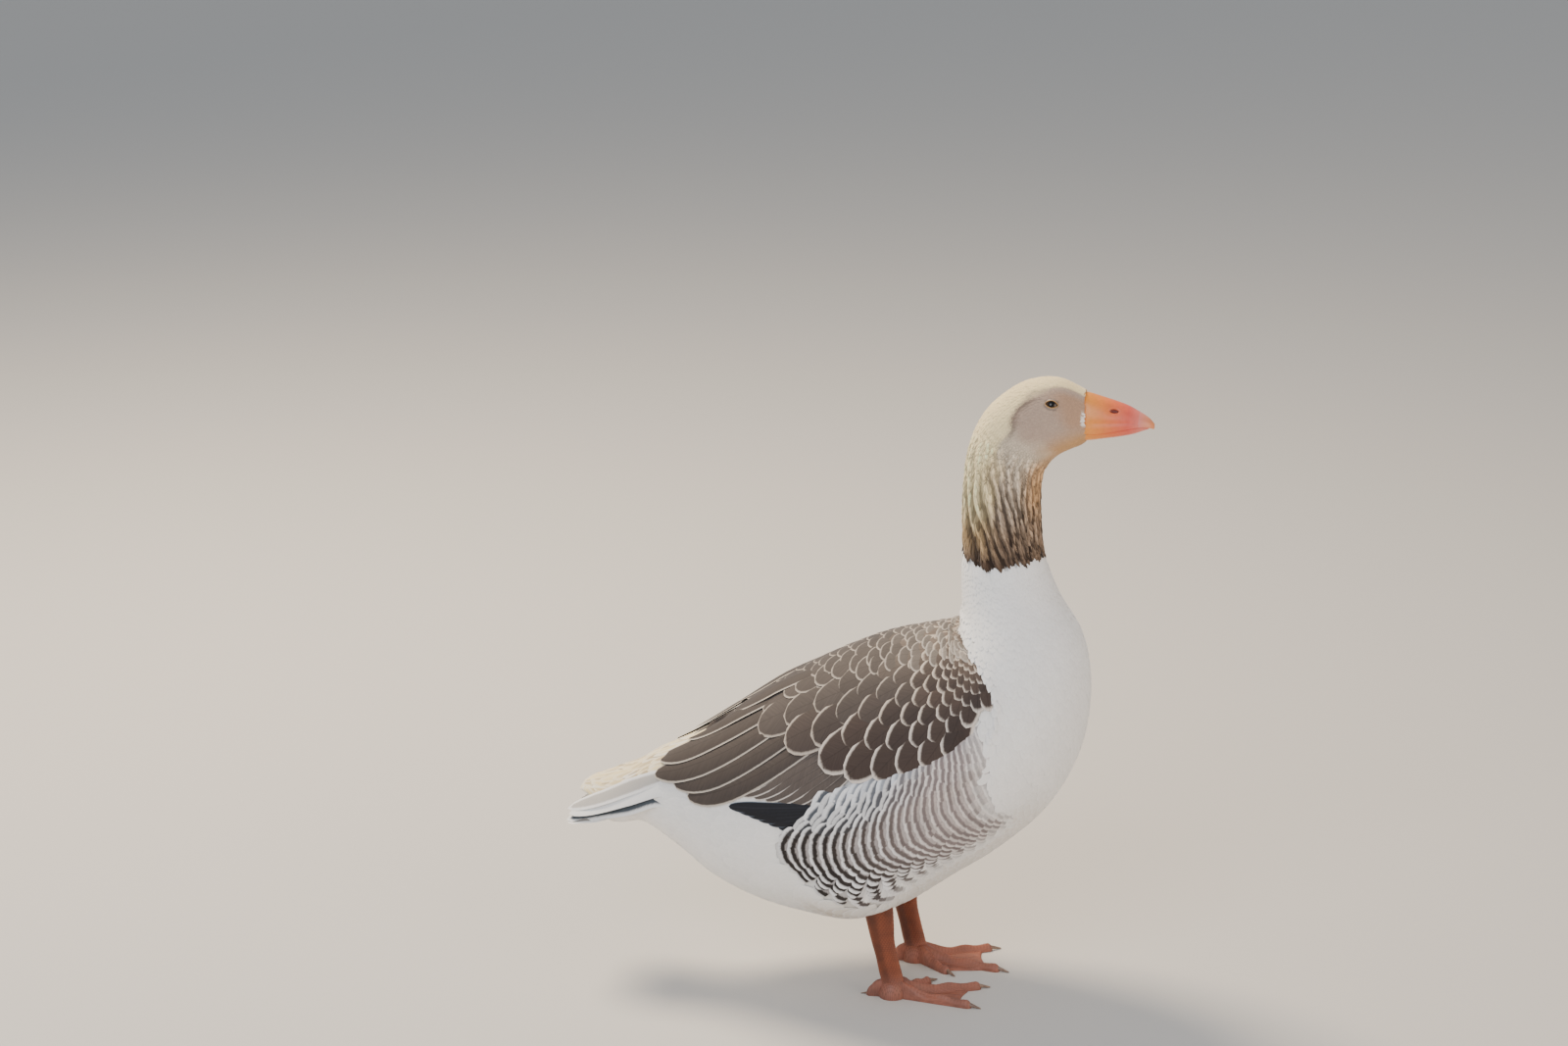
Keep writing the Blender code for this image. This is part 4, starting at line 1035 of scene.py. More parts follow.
def makeCoverts(name, side):
    # tips stand on arcs of growing radius r round the corner: t = centre - r cos b, and degrees down
    # = centre + r sin b / degree, where b is the bearing and degree is the millimetres to one degree round
    c, w = coverts, wingColours
    radii, bearings = [], []
    r, k = c["first"], 0
    while r < c["reach"]:
        grown = min(r - c["first"], c["grownMost"])
        width = c["widthStart"] + c["widthGrowth"] * grown
        spread = c["lap"] * width / r
        low, high = np.radians(c["sweep"])
        bearing = np.arange(low + spread * 0.5 * (k % 2), high, spread)
        radii.append(np.full(len(bearing), r) + around(0.06, len(bearing)) * width)
        bearings.append(bearing + around(0.06, len(bearing)) * spread)
        r, k = r + c["stepStart"] + c["stepGrowth"] * grown, k + 1
    r, bearing = np.concatenate(radii), np.concatenate(bearings)
    tipT = c["centre"][0] - r * np.cos(bearing)
    tipDown = c["centre"][1] + r * np.sin(bearing) / c["degree"]
    ridge = -13 if side > 0 else 8
    line = np.interp(tipDown, c["tipLine"][:, 1], c["tipLine"][:, 0])
    low = np.interp(tipT, c["tipLine"][:, 0], c["tipLine"][:, 1])
    keep = (tipT > line - 3) & (tipDown < low + 1.5) & (tipDown > ridge) & (tipT < 448)
    keep &= tipDown < np.interp(tipT, *wing["lower"].T) + 2
    keep &= tipDown > np.interp(tipT, (320, 370, 410, 447), (ridge, 16, 25, 41))
    r, bearing, tipT, tipDown = chosen(keep, r, bearing, tipT, tipDown)
    count = len(r)
    r = r - c["first"] + c["firstGrown"]
    grown = np.minimum(r, c["grownMost"])
    length = (c["lengthStart"] + c["lengthGrowth"] * grown) * vary(count, 0.05)
    width = (c["widthStart"] + c["widthGrowth"] * grown) * vary(count, 0.05)
    tipA = side * np.radians(tipDown)
    _, _, scale = onBody(tipT, tipA)
    # each lies along the line outwards from the corner, measured on the body
    way = np.stack([-np.cos(bearing) * scale[:, 0],
                    np.sin(bearing) / c["degree"] * math.pi / 180 * scale[:, 1]], -1)
    way /= np.linalg.norm(way, axis=1, keepdims=True)
    rootT = tipT - way[:, 0] * length / scale[:, 0]
    rootA = tipA - side * way[:, 1] * length / scale[:, 1]
    # roots in front of the wing's edge sink under the breast's feathers
    sunk = 1.2 * ramp(rootT, 450, 466)
    # pale scales near the neck and along the back, then dark coverts with pale edges, then plainer shoulders
    pale = np.maximum(1 - ramp(r, 36, 105), (1 - ramp(tipDown, 18, 42)) * (1 - ramp(r, 170, 260)) * 0.9)
    shoulder = ramp(r, 130, 200) * (1 - ramp(tipDown, 44, 60))
    centre = mixed(mixed(w["large"], w["middle"], random.random(count)), w["shoulder"], shoulder)
    centre = mixed(centre, w["small"], pale)
    edge = mixed(w["middleEdge"], w["largeEdge"], ramp(tipDown, 52, 72))
    edge = mixed(edge, w["shoulderEdge"], shoulder * 0.85)
    edge = mixed(edge, w["smallEdge"], pale)
    made = {"rootT": rootT, "rootA": rootA, "tipT": tipT, "tipA": tipA, "side": np.full(count, side),
            "halfWidth": width / 2, "lift": -1.2 - sunk, "rise": 0.8 + sunk,
            "arch": 0.4 + 0.5 * ramp(r, 40, 180), "tilt": -0.35 - 0.35 * ramp(r, 60, 200),
            "thick": 0.4 + 0.2 * ramp(r, 30, 110), "curl": -0.3, "seed": random.random(count),
            "centre": (centre * vary(count, 0.09)[:, None]).clip(0, 1),
            "fringe": (edge * vary(count, 0.06)[:, None]).clip(0, 1),
            "fringeWidth": 2.7 + 0.5 * ramp(r, 60, 180) - 1.3 * shoulder, "field": wingHeight,
            "levelRoot": 0.5, "levelTip": 1.0}
    makeVanes(f"coat_coverts_{name}", "scallop", made, plumages["coatWing"],
              (f"wing_{name}",), atlas=True)


# Small grey scales between the wings, by t: how far apart they lie, how long and how wide they are, and how
# many degrees down from the ridge they reach.
mantle = {"low": 190, "high": 492, "columns": 54, "knots": (132, 226, 340, 490),
          "steps": (20.0, 16.0, 11.0, 5.5), "lengths": (50, 42, 30, 15), "widthKnots": (132, 300, 490),
          "widths": (1.3, 1.05, 0.85), "edgeKnots": (190, 226, 300, 400, 430, 445, 470, 480, 492),
          "edges": (21, 25, 27, 31, 38, 46, 46, 42, 30), "lift": -1.5, "rise": 1.7}


def makeMantle():
    # they lie straight back along the ridge, in columns, and cover where the wings meet; their front rows
    # lie deeper, under the neck's hem
    m, w = mantle, wingColours
    t, a, spacing = columnRoots(m["low"], m["high"], m["columns"],
                                lambda t: np.interp(t, m["knots"], m["steps"]), 0.2)
    keep = degreesDown(a) < np.interp(t, m["edgeKnots"], m["edges"])
    t, a, spacing = chosen(keep, t, a, spacing)
    count = len(t)
    tipT = t - np.interp(t, m["knots"], m["lengths"]) * vary(count, 0.08)
    share = ramp(t, 270, 400)
    dab = random.random(count)
    rise = m["rise"] - 0.9 * ramp(t, 474, 486) + around(0.15, count)
    made = {"rootT": t, "rootA": a, "tipT": tipT, "tipA": a * np.interp(t, (420, 490), (1.0, 1.12)),
            "side": np.where(a >= 0, 1.0, -1.0),
            "halfWidth": spacing * np.interp(t, m["widthKnots"], m["widths"]),
            "lift": m["lift"] - 0.8 * ramp(t, 468, 482), "rise": rise, "arch": 0.4, "thick": 0.35,
            "seed": random.random(count), "field": wingHeight, "levelRoot": 0.9, "levelTip": 1.0,
            "centre": mixed(w["shoulder"], w["mantle"], share * (0.3 + 0.7 * dab))
            * vary(count, 0.12)[:, None],
            "fringe": mixed(w["shoulderEdge"], w["mantleEdge"], share) * vary(count, 0.06)[:, None],
            "fringeWidth": 1.7}
    made.update({key: made[key].clip(0, 1) for key in ("centre", "fringe")})
    makeVanes("coat_mantle", "scallop", made, plumages["coatWing"],
              ("wing_left", "wing_right"), atlas=True)


# Quills, one row each: root t, degrees; tip t, degrees; width; level in the wing; bend.
tertials = {"rows": ((246, 11.5, 88, 12.5, 30, 1.08, -2), (205, 16, 40, 20, 30, 0.98, -3),
                     (190, 22, 14, 43, 30, 0.86, -5), (215, 26, 13, 67, 31, 0.72, -7),
                     (222, 36, 38, 76, 31, 0.58, -7), (232, 46, 56, 84, 30, 0.46, -6)),
            "centre": "tertial", "edge": "tertialEdge", "fringeWidth": 1.6, "arch": 1.2, "thick": 0.8,
            "lift": 0.0, "tilt": 0.9}
secondaries = {"rows": [(236 + 3 * k, 50 + 2.6 * k, 105 + 13.5 * k, 75.5 + 1.45 * k, 19, 0.40 - 0.02 * k, -3)
                        for k in range(7)],
               "centre": "second", "edge": "secondEdge", "fringeWidth": 1.2, "arch": 0.4, "thick": 0.5,
               "lift": -0.2, "tilt": 0.5}
primaries = {"rows": [(212 + 3 * k, 83.5 + 0.8 * k, 104 + 11.5 * k, 80.5 + 2.0 * k, 12.5, 0.22 - 0.03 * k,
                       2) for k in range(6)],
             "centre": "black", "edge": "blackEdge", "fringeWidth": 0.7, "arch": 0.4, "thick": 0.5,
             "lift": 0.9, "tilt": 0.4}


def makeQuills(name, side, look, material, node):
    # one long feather to a row, whose root lies deep in the wing and whose tip stands at its own level
    rows = np.array(look["rows"], float)
    count = len(rows)
    w = wingColours
    made = {"rootT": rows[:, 0], "rootA": side * np.radians(rows[:, 1]), "tipT": rows[:, 2],
            "tipA": side * np.radians(rows[:, 3]), "side": np.full(count, side),
            "halfWidth": rows[:, 4] / 2, "levelRoot": rows[:, 5] * 0.2 - 0.05, "levelTip": rows[:, 5],
            "bend": rows[:, 6], "arch": look["arch"], "thick": look["thick"], "tilt": look["tilt"],
            "lift": look["lift"], "rise": 0.3, "seed": random.random(count),
            "centre": (w[look["centre"]] * vary(count, 0.08)[:, None]).clip(0, 1),
            "fringe": np.repeat(w[look["edge"]][None], count, 0), "fringeWidth": look["fringeWidth"],
            "field": wingHeight}
    makeVanes(name, "quill", made, material, (node,), atlas=True)


for sideName, sideSign in sides:
    makeCoverts(sideName, sideSign)
    for name, look in (("tertials", tertials), ("secondaries", secondaries)):
        makeQuills(f"{name}_{sideName}", sideSign, look, plumages["coatWing"],
                   f"wing_{sideName}")
    makeQuills(f"primaries_vanes_{sideName}", sideSign, primaries, plumages["coatFlight"],
               f"primaries_{sideName}")
makeMantle()

# Tail: a fan of broad feathers, each flat at its rounded end. The fan's rows give, along x: how far its sides
# lie ahead of its middle, its ridge, its droop and its half width. Three outer feathers of each side begin
# on the body and end at a corner of the fan.
tailFan = {"rows": np.array(((-237, 0, 200.5, 27.0, 37), (-250, -2, 194.5, 24.0, 42),
                             (-262, -2, 188.0, 19.5, 46), (-276, -1, 180.0, 12.0, 49),
                             (-289, 1, 172.0, 6.0, 50), (-298, 2, 166.5, 2.0, 48)), float),
           "count": 12, "width": 16.0, "thick": 0.6, "arch": 0.6, "rings": 24, "across": 9, "under": 3,
           "samples": 60, "spread": 0.9, "fringeWidth": 2.6, "inner": hexLinear("#8E8A84"), "outer": (
               # t, degrees and height of each knot; the corner; colour; width of the pale fringe
               (((40, 91, -5.0), (18, 93.5, -0.8), (-12, 97, 2.2), (-42, 101, 3.2)), (-295, 46.0, 166.5),
                "#4C5359", 4.4),
               (((40, 77, -5.0), (20, 78.5, -0.8), (-10, 81, 2.6), (-40, 83, 4.0)), (-293, 43.5, 172.6),
                "#F2F0EB", 3.0),
               (((40, 60, -5.0), (20, 61.5, -1.0), (-10, 64, 1.6), (-40, 67, 2.8)), (-296, 37.0, 175.5),
                "#B9B4AC", 3.6))}


def vaneAlong(middle, outward, half, u, sign, thick, arch):
    # rings across a feather whose middle line and facing directions are given point by point: half * u
    # sideways, and arch * (1 - u^2) outwards, plus or minus half the thickness * sqrt(1 - u^2)
    ahead = np.gradient(middle, axis=0)
    across = np.cross(outward, ahead)
    across /= np.linalg.norm(across, axis=1, keepdims=True)
    out = np.cross(ahead, across)
    out /= np.linalg.norm(out, axis=1, keepdims=True)
    lift = arch * (1 - u**2)[None, :] + thick / 2 * (sign * np.sqrt(1 - 0.999 * u**2))[None, :]
    aside = half[:, None] * u[None, :]
    return middle[:, None] + across[:, None] * aside[..., None] + out[:, None] * lift[..., None]


def fanFeathers(v):
    # middle line and facing of each feather of the fan: at share s of the half width, ridge - droop |s|^1.7
    f = tailFan
    sheet = smoothCurve(-f["rows"][:, 0], f["rows"], np.linspace(237, 298, f["samples"]))
    for k in range(f["count"]):
        share = (-1 + 2 * k / (f["count"] - 1)) * f["spread"]
        end = 1 - 0.06 * share**2 - 0.012 * (k % 2)
        x, forward, ridge, droop, width = (np.interp(v * end, np.linspace(0, 1, f["samples"]), sheet[:, j])
                                           for j in range(5))
        level = 0.6 - 1.6 * abs(share) + 0.12 * (k % 2)
        height = ridge - droop * abs(share) ** 1.7 + level * 0.5 - 0.6
        slope = -1.7 * droop * np.sign(share) * abs(share) ** 0.7 / width
        yield (np.stack([x + forward * share**2, share * width, height], -1),
               np.stack([0 * x, -slope, 1 + 0 * x], -1), f["inner"], f["fringeWidth"], 1.0)


def outerFeathers(v):
    # the same for the outer feathers, whose middle lines run smoothly through knots on the body to a corner
    for _, side in sides[::-1]:
        for path, corner, colour, edge in tailFan["outer"]:
            t, down, high = np.array(path, float).T
            place, out, _ = onBody(t, side * np.radians(down))
            knots = np.concatenate([place + out * high[:, None], np.array([corner]) * (1, side, 1)])
            yield (smoothCurve(np.linspace(0, 1, len(knots)), knots, v),
                   np.stack([0 * v, side * (1 - 0.6 * v), 0.3 + 0.6 * v], -1), hexLinear(colour), edge, 1.2)


def makeTailFeathers():
    # every feather is a grid of rings by points; its width rises to v = 1/2 and rounds off as (1 - q^2.4)^0.5
    f = tailFan
    v = np.linspace(0, 1, f["rings"] + 1)
    u = np.concatenate([np.linspace(-1, 1, f["across"]), np.linspace(1, -1, f["under"] + 2)[1:-1]])
    sign = np.concatenate([np.ones(f["across"]), -np.ones(f["under"])])
    sign[[0, f["across"] - 1]] = 0
    w = np.minimum(1, 0.6 + v * 0.8) * np.maximum(1 - np.clip((v - 0.78) / 0.22, 0, 1) ** 2.4, 0) ** 0.5
    n, count = len(u), len(v) - 1
    size = n * count + 1
    uEach = np.concatenate([np.tile(u, count), [0]])
    vEach = np.concatenate([np.repeat(v[:-1], n), [1]])
    gridQuads, gridTriangles = vaneFaces(count, n)
    feathers = [*fanFeathers(v), *outerFeathers(v)]
    made = {key: [] for key in ("points", "vane", "reach", "centre", "fringe", "bake", "quads", "triangles")}
    for k, (middle, outward, colour, edge, wide) in enumerate(feathers):
        half = f["width"] / 2 * wide * w
        length = np.linalg.norm(np.diff(middle, axis=0), axis=1).sum()
        rings = vaneAlong(middle, outward, half, u, sign, f["thick"], f["arch"])[:-1]
        made["points"].append(np.concatenate([rings.reshape(-1, 3), middle[-1:]]))
        halfEach = np.concatenate([np.repeat(half[:-1], n), [0]])
        inside = np.minimum((1 - np.abs(uEach)) * halfEach, (1 - vEach) * length)
        made["vane"].append(np.stack([uEach, vEach, np.full(size, k * 0.071)], -1))
        made["reach"].append(np.stack([uEach * halfEach, vEach * length, inside / edge], -1))
        made["centre"].append(np.repeat(colour[None], size, 0))
        made["fringe"].append(np.repeat(colours["white"][None], size, 0))
        made["bake"].append(np.stack([(k + 0.5 + 0.44 * uEach) / len(feathers), 0.04 + 0.92 * vEach], -1))
        made["quads"].append(gridQuads + k * size)
        made["triangles"].append(gridTriangles + k * size)
    made = {key: np.concatenate(held) for key, held in made.items()}
    piece = makePiece("tail_feathers", made["points"], made["quads"], made["triangles"],
                      plumages["coatWhite"], ("tail_fan",))
    for key in ("vane", "reach"):
        addVectors(piece, key, made[key])
    for key in ("centre", "fringe"):
        addColours(piece, key, made[key])
    addBakeMap(piece, made["bake"])
    print("tail feathers:", len(feathers))


makeTailFeathers()

# Bill: rows of x, top, bottom and half width. Its relief is named by degrees down from the middle line, how
# wide it is and how deep: the nostril's pit in a shallow hollow, and a groove over a raised rim at the edge.
bill = {"upper": ((226, 635.5, 596.2, 16.8), (232.6, 634.6, 596.3, 17.6), (241, 632.4, 596.6, 17.6),
                  (251, 629.6, 598.0, 16.8), (262, 626.4, 600.0, 15.8), (273, 622.4, 602.2, 14.3),
                  (283.2, 617.0, 603.9, 12.2)),
        "nail": ((282.6, 617.3, 603.8, 12.3), (289, 613.6, 603.6, 9.6), (294, 610.0, 602.4, 6.6),
                 (298, 605.6, 600.6, 2.8)),
        "lower": ((227, 595.5, 586.2, 13.9), (234.2, 595.9, 586.6, 14.6), (245, 596.6, 588.4, 14.0),
                  (256, 598.3, 590.2, 13.0), (268, 600.6, 592.3, 11.4), (280, 602.8, 595.4, 9.2),
                  (288, 603.0, 598.6, 6.6), (292.5, 602.0, 600.2, 3.2)),
        "nostril": (259.0, 46.0), "nostrilReach": (5.0, 7.0), "nostrilDepth": 2.4, "nostrilSlant": 0.12,
        "hollowReach": (11.0, 19.0), "hollowDepth": 0.55, "upperGroove": (76, 3.2, 0.45),
        "grooveSpan": (234, 240), "upperRim": (85, 3.0, -0.25), "lowerGroove": (62, 5.0, 0.35),
        "lowerRim": (80, 5.0, -0.3), "flatPoints": 24, "flatHollow": 0.8, "sharp": 45}


def billRelief(half, x, degrees):
    # how deep the surface is sunk: each groove or rim is depth * exp(-((degrees - place) / width)^2), and
    # each pit is flat inside and falls off smoothly round its middle
    b = bill
    groove, rim = (depth * np.exp(-((degrees - place) / width) ** 2)
                   for place, width, depth in (b[half + "Groove"], b[half + "Rim"]))
    if half == "lower":
        return groove + rim
    ahead, down = x - b["nostril"][0], degrees - b["nostril"][1]
    near = np.hypot((ahead + down * b["nostrilSlant"]) / b["nostrilReach"][0], down / b["nostrilReach"][1])
    wide = np.hypot(ahead / b["hollowReach"][0], down / b["hollowReach"][1])
    pits = b["nostrilDepth"] * (1 - ramp(near, 0.55, 1.1)) + b["hollowDepth"] * (1 - ramp(wide, 0.3, 1.1))
    return pits + groove * ramp(x, *b["grooveSpan"]) + rim


def billHalf(half, material, rings=70, sides=96):
    # ring angle p from -90 to 90 degrees over the dome: y = half width * sin p, height (top - bottom) *
    # cos^0.85 p; the other half of the ring is the flat side, hollowed a little
    rows = np.array(bill[half], float)
    fine = smoothCurve(rows[:, 0], rows, np.linspace(rows[0, 0], rows[-1, 0], rings))
    x, top, bottom, width = (fine[:, k, None] for k in range(4))
    p = np.linspace(-math.pi / 2, math.pi / 2, sides)[None, :]
    rise = np.maximum(np.cos(p), 0) ** 0.85
    inset = 0 * x * p + (0 if half == "nail" else billRelief(half, x, np.abs(np.degrees(p))))
    upwards = -1 if half == "lower" else 1
    z = (bottom if upwards > 0 else top) + upwards * rise * (top - bottom)
    dome = np.stack([x + 0 * p, width * np.sin(p) - np.sin(p) * inset, z - np.cos(p) * upwards * inset], -1)
    share = np.linspace(0, 1, bill["flatPoints"] + 2)[1:-1][None, :, None]
    flat = dome[:, -1:] * (1 - share) + dome[:, :1] * share
    flat[..., 2] += upwards * bill["flatHollow"] * np.sin(math.pi * share[..., 0]) ** 0.5
    piece = closedTube(f"bill_{half}_horn", np.concatenate([dome, flat], 1), upwards > 0, material,
                       (f"bill_{half}",), bill["sharp"])
    # how deep in the nostril each point is, for the material, which paints the deep part dark as the shade
    # inside the opening
    pit = np.clip(inset / bill["nostrilDepth"], 0, 1) * (half == "upper")
    pit = np.append(np.pad(pit, ((0, 0), (0, bill["flatPoints"]))).ravel(), (0, 0))
    addColours(piece, "pit", np.repeat(pit[:, None], 3, 1))


# nostril is the dark colour painted into the nostril's pit for the shade inside its opening
hornLook = {"mottle": 260.0,
            "stops": ((0.0, "#EA9430"), (0.28, "#E98436"), (0.52, "#E66E3C"), (0.8, "#DF5C48"),
                      (1.0, "#E07868")), "span": (0.230, 0.284), "nostril": "#6E2418", "relief": 0.0005}


def hornMaterial():
    # The bill's sheath is living horn, smooth and slightly waxy: the eye gets a soft gloss, a colour that
    # turns from orange at the base to pink forwards, faint mottling, and painted shade darkening the nostril.
    look = hornLook
    material, tree, shader = newMaterial("billHorn", Roughness=0.38, IOR=1.54, Coat_Weight=0.12,
                                         Coat_Roughness=0.25)
    place = addNode(tree, "TexCoord").outputs["Object"]
    x = addNode(tree, "SeparateXYZ", Vector=place).outputs["X"]
    forward = addNode(tree, "MapRange", Value=x, From_Min=look["span"][0],
                      From_Max=look["span"][1]).outputs[0]
    turning = addNode(tree, "ValToRGB", Fac=forward)
    stops = turning.color_ramp.elements
    for position, text in look["stops"]:
        # the two end stops are there from the start
        stop = stops[int(position) * (len(stops) - 1)] if position in (0.0, 1.0) else stops.new(position)
        stop.color = rgba(text)
    mottle = addNode(tree, "TexNoise", Vector=place, Scale=look["mottle"], Detail=4.0,
                     Roughness=0.6).outputs["Fac"]
    tone = addNode(tree, "MapRange", Value=mottle, From_Min=0.3, From_Max=0.7, To_Min=0.93,
                   To_Max=1.06).outputs[0]
    # painted shade: the deeper in the nostril's pit, the darker
    pit = addNode(tree, "Attribute", attribute_name="pit").outputs["Fac"]
    deep = addNode(tree, "MapRange", interpolation_type="SMOOTHSTEP", Value=pit, From_Min=0.25,
                   From_Max=0.95).outputs[0]
    colour = addNode(tree, "Mix", data_type="RGBA", Factor=deep,
                     i6=shadedBy(tree, turning.outputs["Color"], tone), i7=rgba(look["nostril"])).outputs[2]
    finishShader(tree, shader, colour, mottle, 0.12, look["relief"])
    return material


def paleHorn(name, text, dark, span=None):
    # The nail and the claws are dead, worn horn: the eye gets a harder gloss, and fine darker grain. Over a
    # span of x in metres, if given, the colour turns from one to the other instead of following the grain.
    material, tree, shader = newMaterial(name, Roughness=0.34, IOR=1.54)
    place = addNode(tree, "TexCoord").outputs["Object"]
    grain = addNode(tree, "TexNoise", Vector=place, Scale=300.0, Detail=3.0).outputs["Fac"]
    held, low, high = grain, 0.35, 0.7
    if span:
        held = addNode(tree, "SeparateXYZ", Vector=place).outputs["X"]
        low, high = span
    share = addNode(tree, "MapRange", Value=held, From_Min=low, From_Max=high).outputs[0]
    colour = addNode(tree, "Mix", data_type="RGBA", Factor=share, i6=rgba(text),
                     i7=rgba(dark)).outputs[2]
    finishShader(tree, shader, colour, grain, 0.1, 0.0004)
    return material


horn = hornMaterial()
billHalf("upper", horn)
billHalf("nail", paleHorn("nailHorn", "#E0867A", "#E48A50", (0.283, 0.297)), 30, 64)
billHalf("lower", horn)
print("bill")

# Eyes: a dark ball with a black pupil, in a narrow ring of lid. The lid's profile is a loop of points, each
# outwards from the lid's opening and up from the ball.
eye = {"radius": 7.6, "bulge": 0.25, "bulgeReach": 0.5, "rings": 44, "turns": 64,
       "pupil": hexLinear("#0A0807"), "iris": hexLinear("#33200F"), "irisRim": hexLinear("#1A100B"),
       "lid": (6.3, 3.9), "slant": -6.0, "lidTurns": 96, "lidGap": 0.1, "lidReach": 6.4,
       "lidRim": hexLinear("#B98A4C"), "lidSkirt": hexLinear("#8F7E72"), "lidInner": hexLinear("#2A1A10"),
       "profile": np.array(((-0.5, -0.1), (-0.42, 0.16), (-0.24, 0.32), (0.0, 0.38), (0.25, 0.3), (0.5, 0.08),
                            (0.95, -0.3), (1.6, -0.85), (2.3, -1.6), (2.9, -2.5), (3.1, -3.6), (1.8, -3.8),
                            (0.4, -2.4), (-0.3, -1.0)))}


def eyeSkin(name, scale, low, high, **shaderValues):
    # the tint held at each point, made darker and paler by fine grain
    material, tree, shader = newMaterial(name, **shaderValues)
    place = addNode(tree, "TexCoord").outputs["Object"]
    grain = addNode(tree, "TexNoise", Vector=place, Scale=scale, Detail=2.0).outputs["Fac"]
    tint = addNode(tree, "Attribute", attribute_name="tint").outputs["Color"]
    tone = addNode(tree, "MapRange", Value=grain, To_Min=low, To_Max=high).outputs[0]
    return material, tree, shader, shadedBy(tree, tint, tone), grain


def wetEye():
    # An eye is a wet, clear ball over a dark iris: the eye gets one sharp highlight, and almost no colour.
    material, tree, shader, colour, _ = eyeSkin("wetEye", 900.0, 0.8, 1.2, Roughness=0.06, IOR=1.38,
                                                Coat_Weight=0.15, Coat_Roughness=0.02)
    tree.links.new(colour, shader.inputs["Base Color"])
    return material


def lidSkin():
    # The lids are bare, dry skin with fine folds: the eye gets no gloss, and a grainy rim.
    material, tree, shader, colour, grain = eyeSkin("lidSkin", 700.0, 0.75, 1.2, Roughness=0.55)
    finishShader(tree, shader, colour, grain, 0.3, 0.0003)
    return material


def eyeFrame(name, side):
    # the eye's middle, and its directions outwards, ahead and up
    low, high = (np.array(corner) * 1000 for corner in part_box(f"eye_{name}"))
    _, out, _ = onBody(np.array([headCoat["eye"][0]]), np.array([side * math.radians(headCoat["eye"][1])]))
    ahead = np.array([1.0, 0, 0]) - out[0] * out[0, 0]
    ahead = ahead / np.linalg.norm(ahead)
    return (low + high) / 2, out[0], ahead, np.cross(out[0], ahead) * (-side)


def makeEyeball(name, side, material):
    # a ball by polar angle q from where it looks and turn p round that, its radius raised over the cornea by
    # bulge * exp(-(q / reach)^2)
    centre, out, ahead, _ = eyeFrame(name, side)
    q = np.linspace(0, math.pi, eye["rings"])[1:-1, None]
    p = np.linspace(0, 2 * math.pi, eye["turns"], endpoint=False)[None, :]
    radius = eye["radius"] + eye["bulge"] * np.exp(-(q / eye["bulgeReach"]) ** 2)
    ring = (centre + (radius * np.cos(q))[..., None] * out
            + (radius * np.sin(q) * np.cos(p))[..., None] * ahead
            + (radius * np.sin(q) * np.sin(p))[..., None] * np.cross(out, ahead))
    ends = [centre + out * (eye["radius"] + eye["bulge"]), centre - out * eye["radius"]]
    piece = closedTube(f"eyeball_{name}", ring, True, material, (f"eye_{name}",), None, ends)
    angle = np.degrees(np.concatenate([(q + 0 * p).ravel(), [0, math.pi]]))
    iris = mixed(eye["pupil"], eye["iris"], ramp(angle, 22, 26))
    addColours(piece, "tint", mixed(iris, eye["irisRim"], ramp(angle, 42, 52)))


def makeEyelids(name, side, material):
    # the profile carried round an almond on the ball (x = length * cos s, y = height * sin s, flatter at its
    # corners); beyond the rounded rim its skirt slopes down under the feathers
    centre, out, ahead, up = eyeFrame(name, side)
    s = np.linspace(0, 2 * math.pi, eye["lidTurns"], endpoint=False)[:, None]
    long, tall = eye["lid"]
    along = long * np.cos(s)
    high = tall * np.sin(s) * (1 - 0.22 * np.cos(s) ** 2 - 0.08 * (np.sin(s) > 0))
    wayA, wayU = -long * np.sin(s), tall * np.cos(s)
    size = np.hypot(wayA, wayU)
    profile = eye["profile"]
    x, y = along + wayU / size * profile[None, :, 0], high - wayA / size * profile[None, :, 0]
    c, d = math.cos(math.radians(eye["slant"])), math.sin(math.radians(eye["slant"]))
    onBall = np.minimum(np.hypot(along, high), eye["lidReach"])
    lift = np.sqrt(np.maximum(eye["radius"] ** 2 - onBall**2, 4)) + eye["lidGap"] + profile[None, :, 1]
    alongBird, upwards = x * c - y * d, x * d + y * c
    tube = centre + lift[..., None] * out + alongBird[..., None] * ahead + upwards[..., None] * up
    n, last = len(profile), (len(s) - 1) * len(profile)
    column = np.arange(n)
    after = (column + 1) % n
    quads = np.concatenate([gridFaces(len(s), n), np.stack([last + column, last + after, after, column], -1)])
    if side < 0:
        quads = quads[:, ::-1]
    piece = makePiece(f"eyelids_{name}", tube, quads, np.zeros((0, 3), int), material, ("head",),
                      sharp=None)
    rim = mixed(eye["lidRim"], eye["lidSkirt"], ramp(profile[:, 0], 0.2, 0.6))
    rim = mixed(rim, eye["lidInner"], ramp(-profile[:, 0], 0.2, 0.5) * 0.8)
    addColours(piece, "tint", np.tile(rim, (len(s), 1)))


ballMaterial, lidMaterial = wetEye(), lidSkin()
for sideName, sideSign in sides:
    makeEyeball(sideName, sideSign, ballMaterial)
    makeEyelids(sideName, sideSign, lidMaterial)
print("eyes")

# Legs: stations of height, x from the foot's centre, half length and half width. The shank is covered in
# small rounded scales, with a row of broad shields down its front.
leg = {"stations": np.array(((9.0, 0.5, 13.0, 9.5), (17.0, 0.0, 12.0, 7.4), (25, -2.0, 11.9, 6.7),
                             (42, -6.0, 11.6, 6.2), (60, -10.4, 12.2, 6.5), (78, -13.0, 14.0, 7.6),
                             (92, -15.0, 15.2, 8.4), (112, -16.8, 14.4, 8.6)), float),
       "scale": 2.6, "scaleRise": 0.28, "shieldPitch": 3.4, "shieldRise": 1.3, "tendonDepth": 0.5,
       "tendonDegrees": 62, "tendonWidth": 16, "rows": 170, "columns": 120}
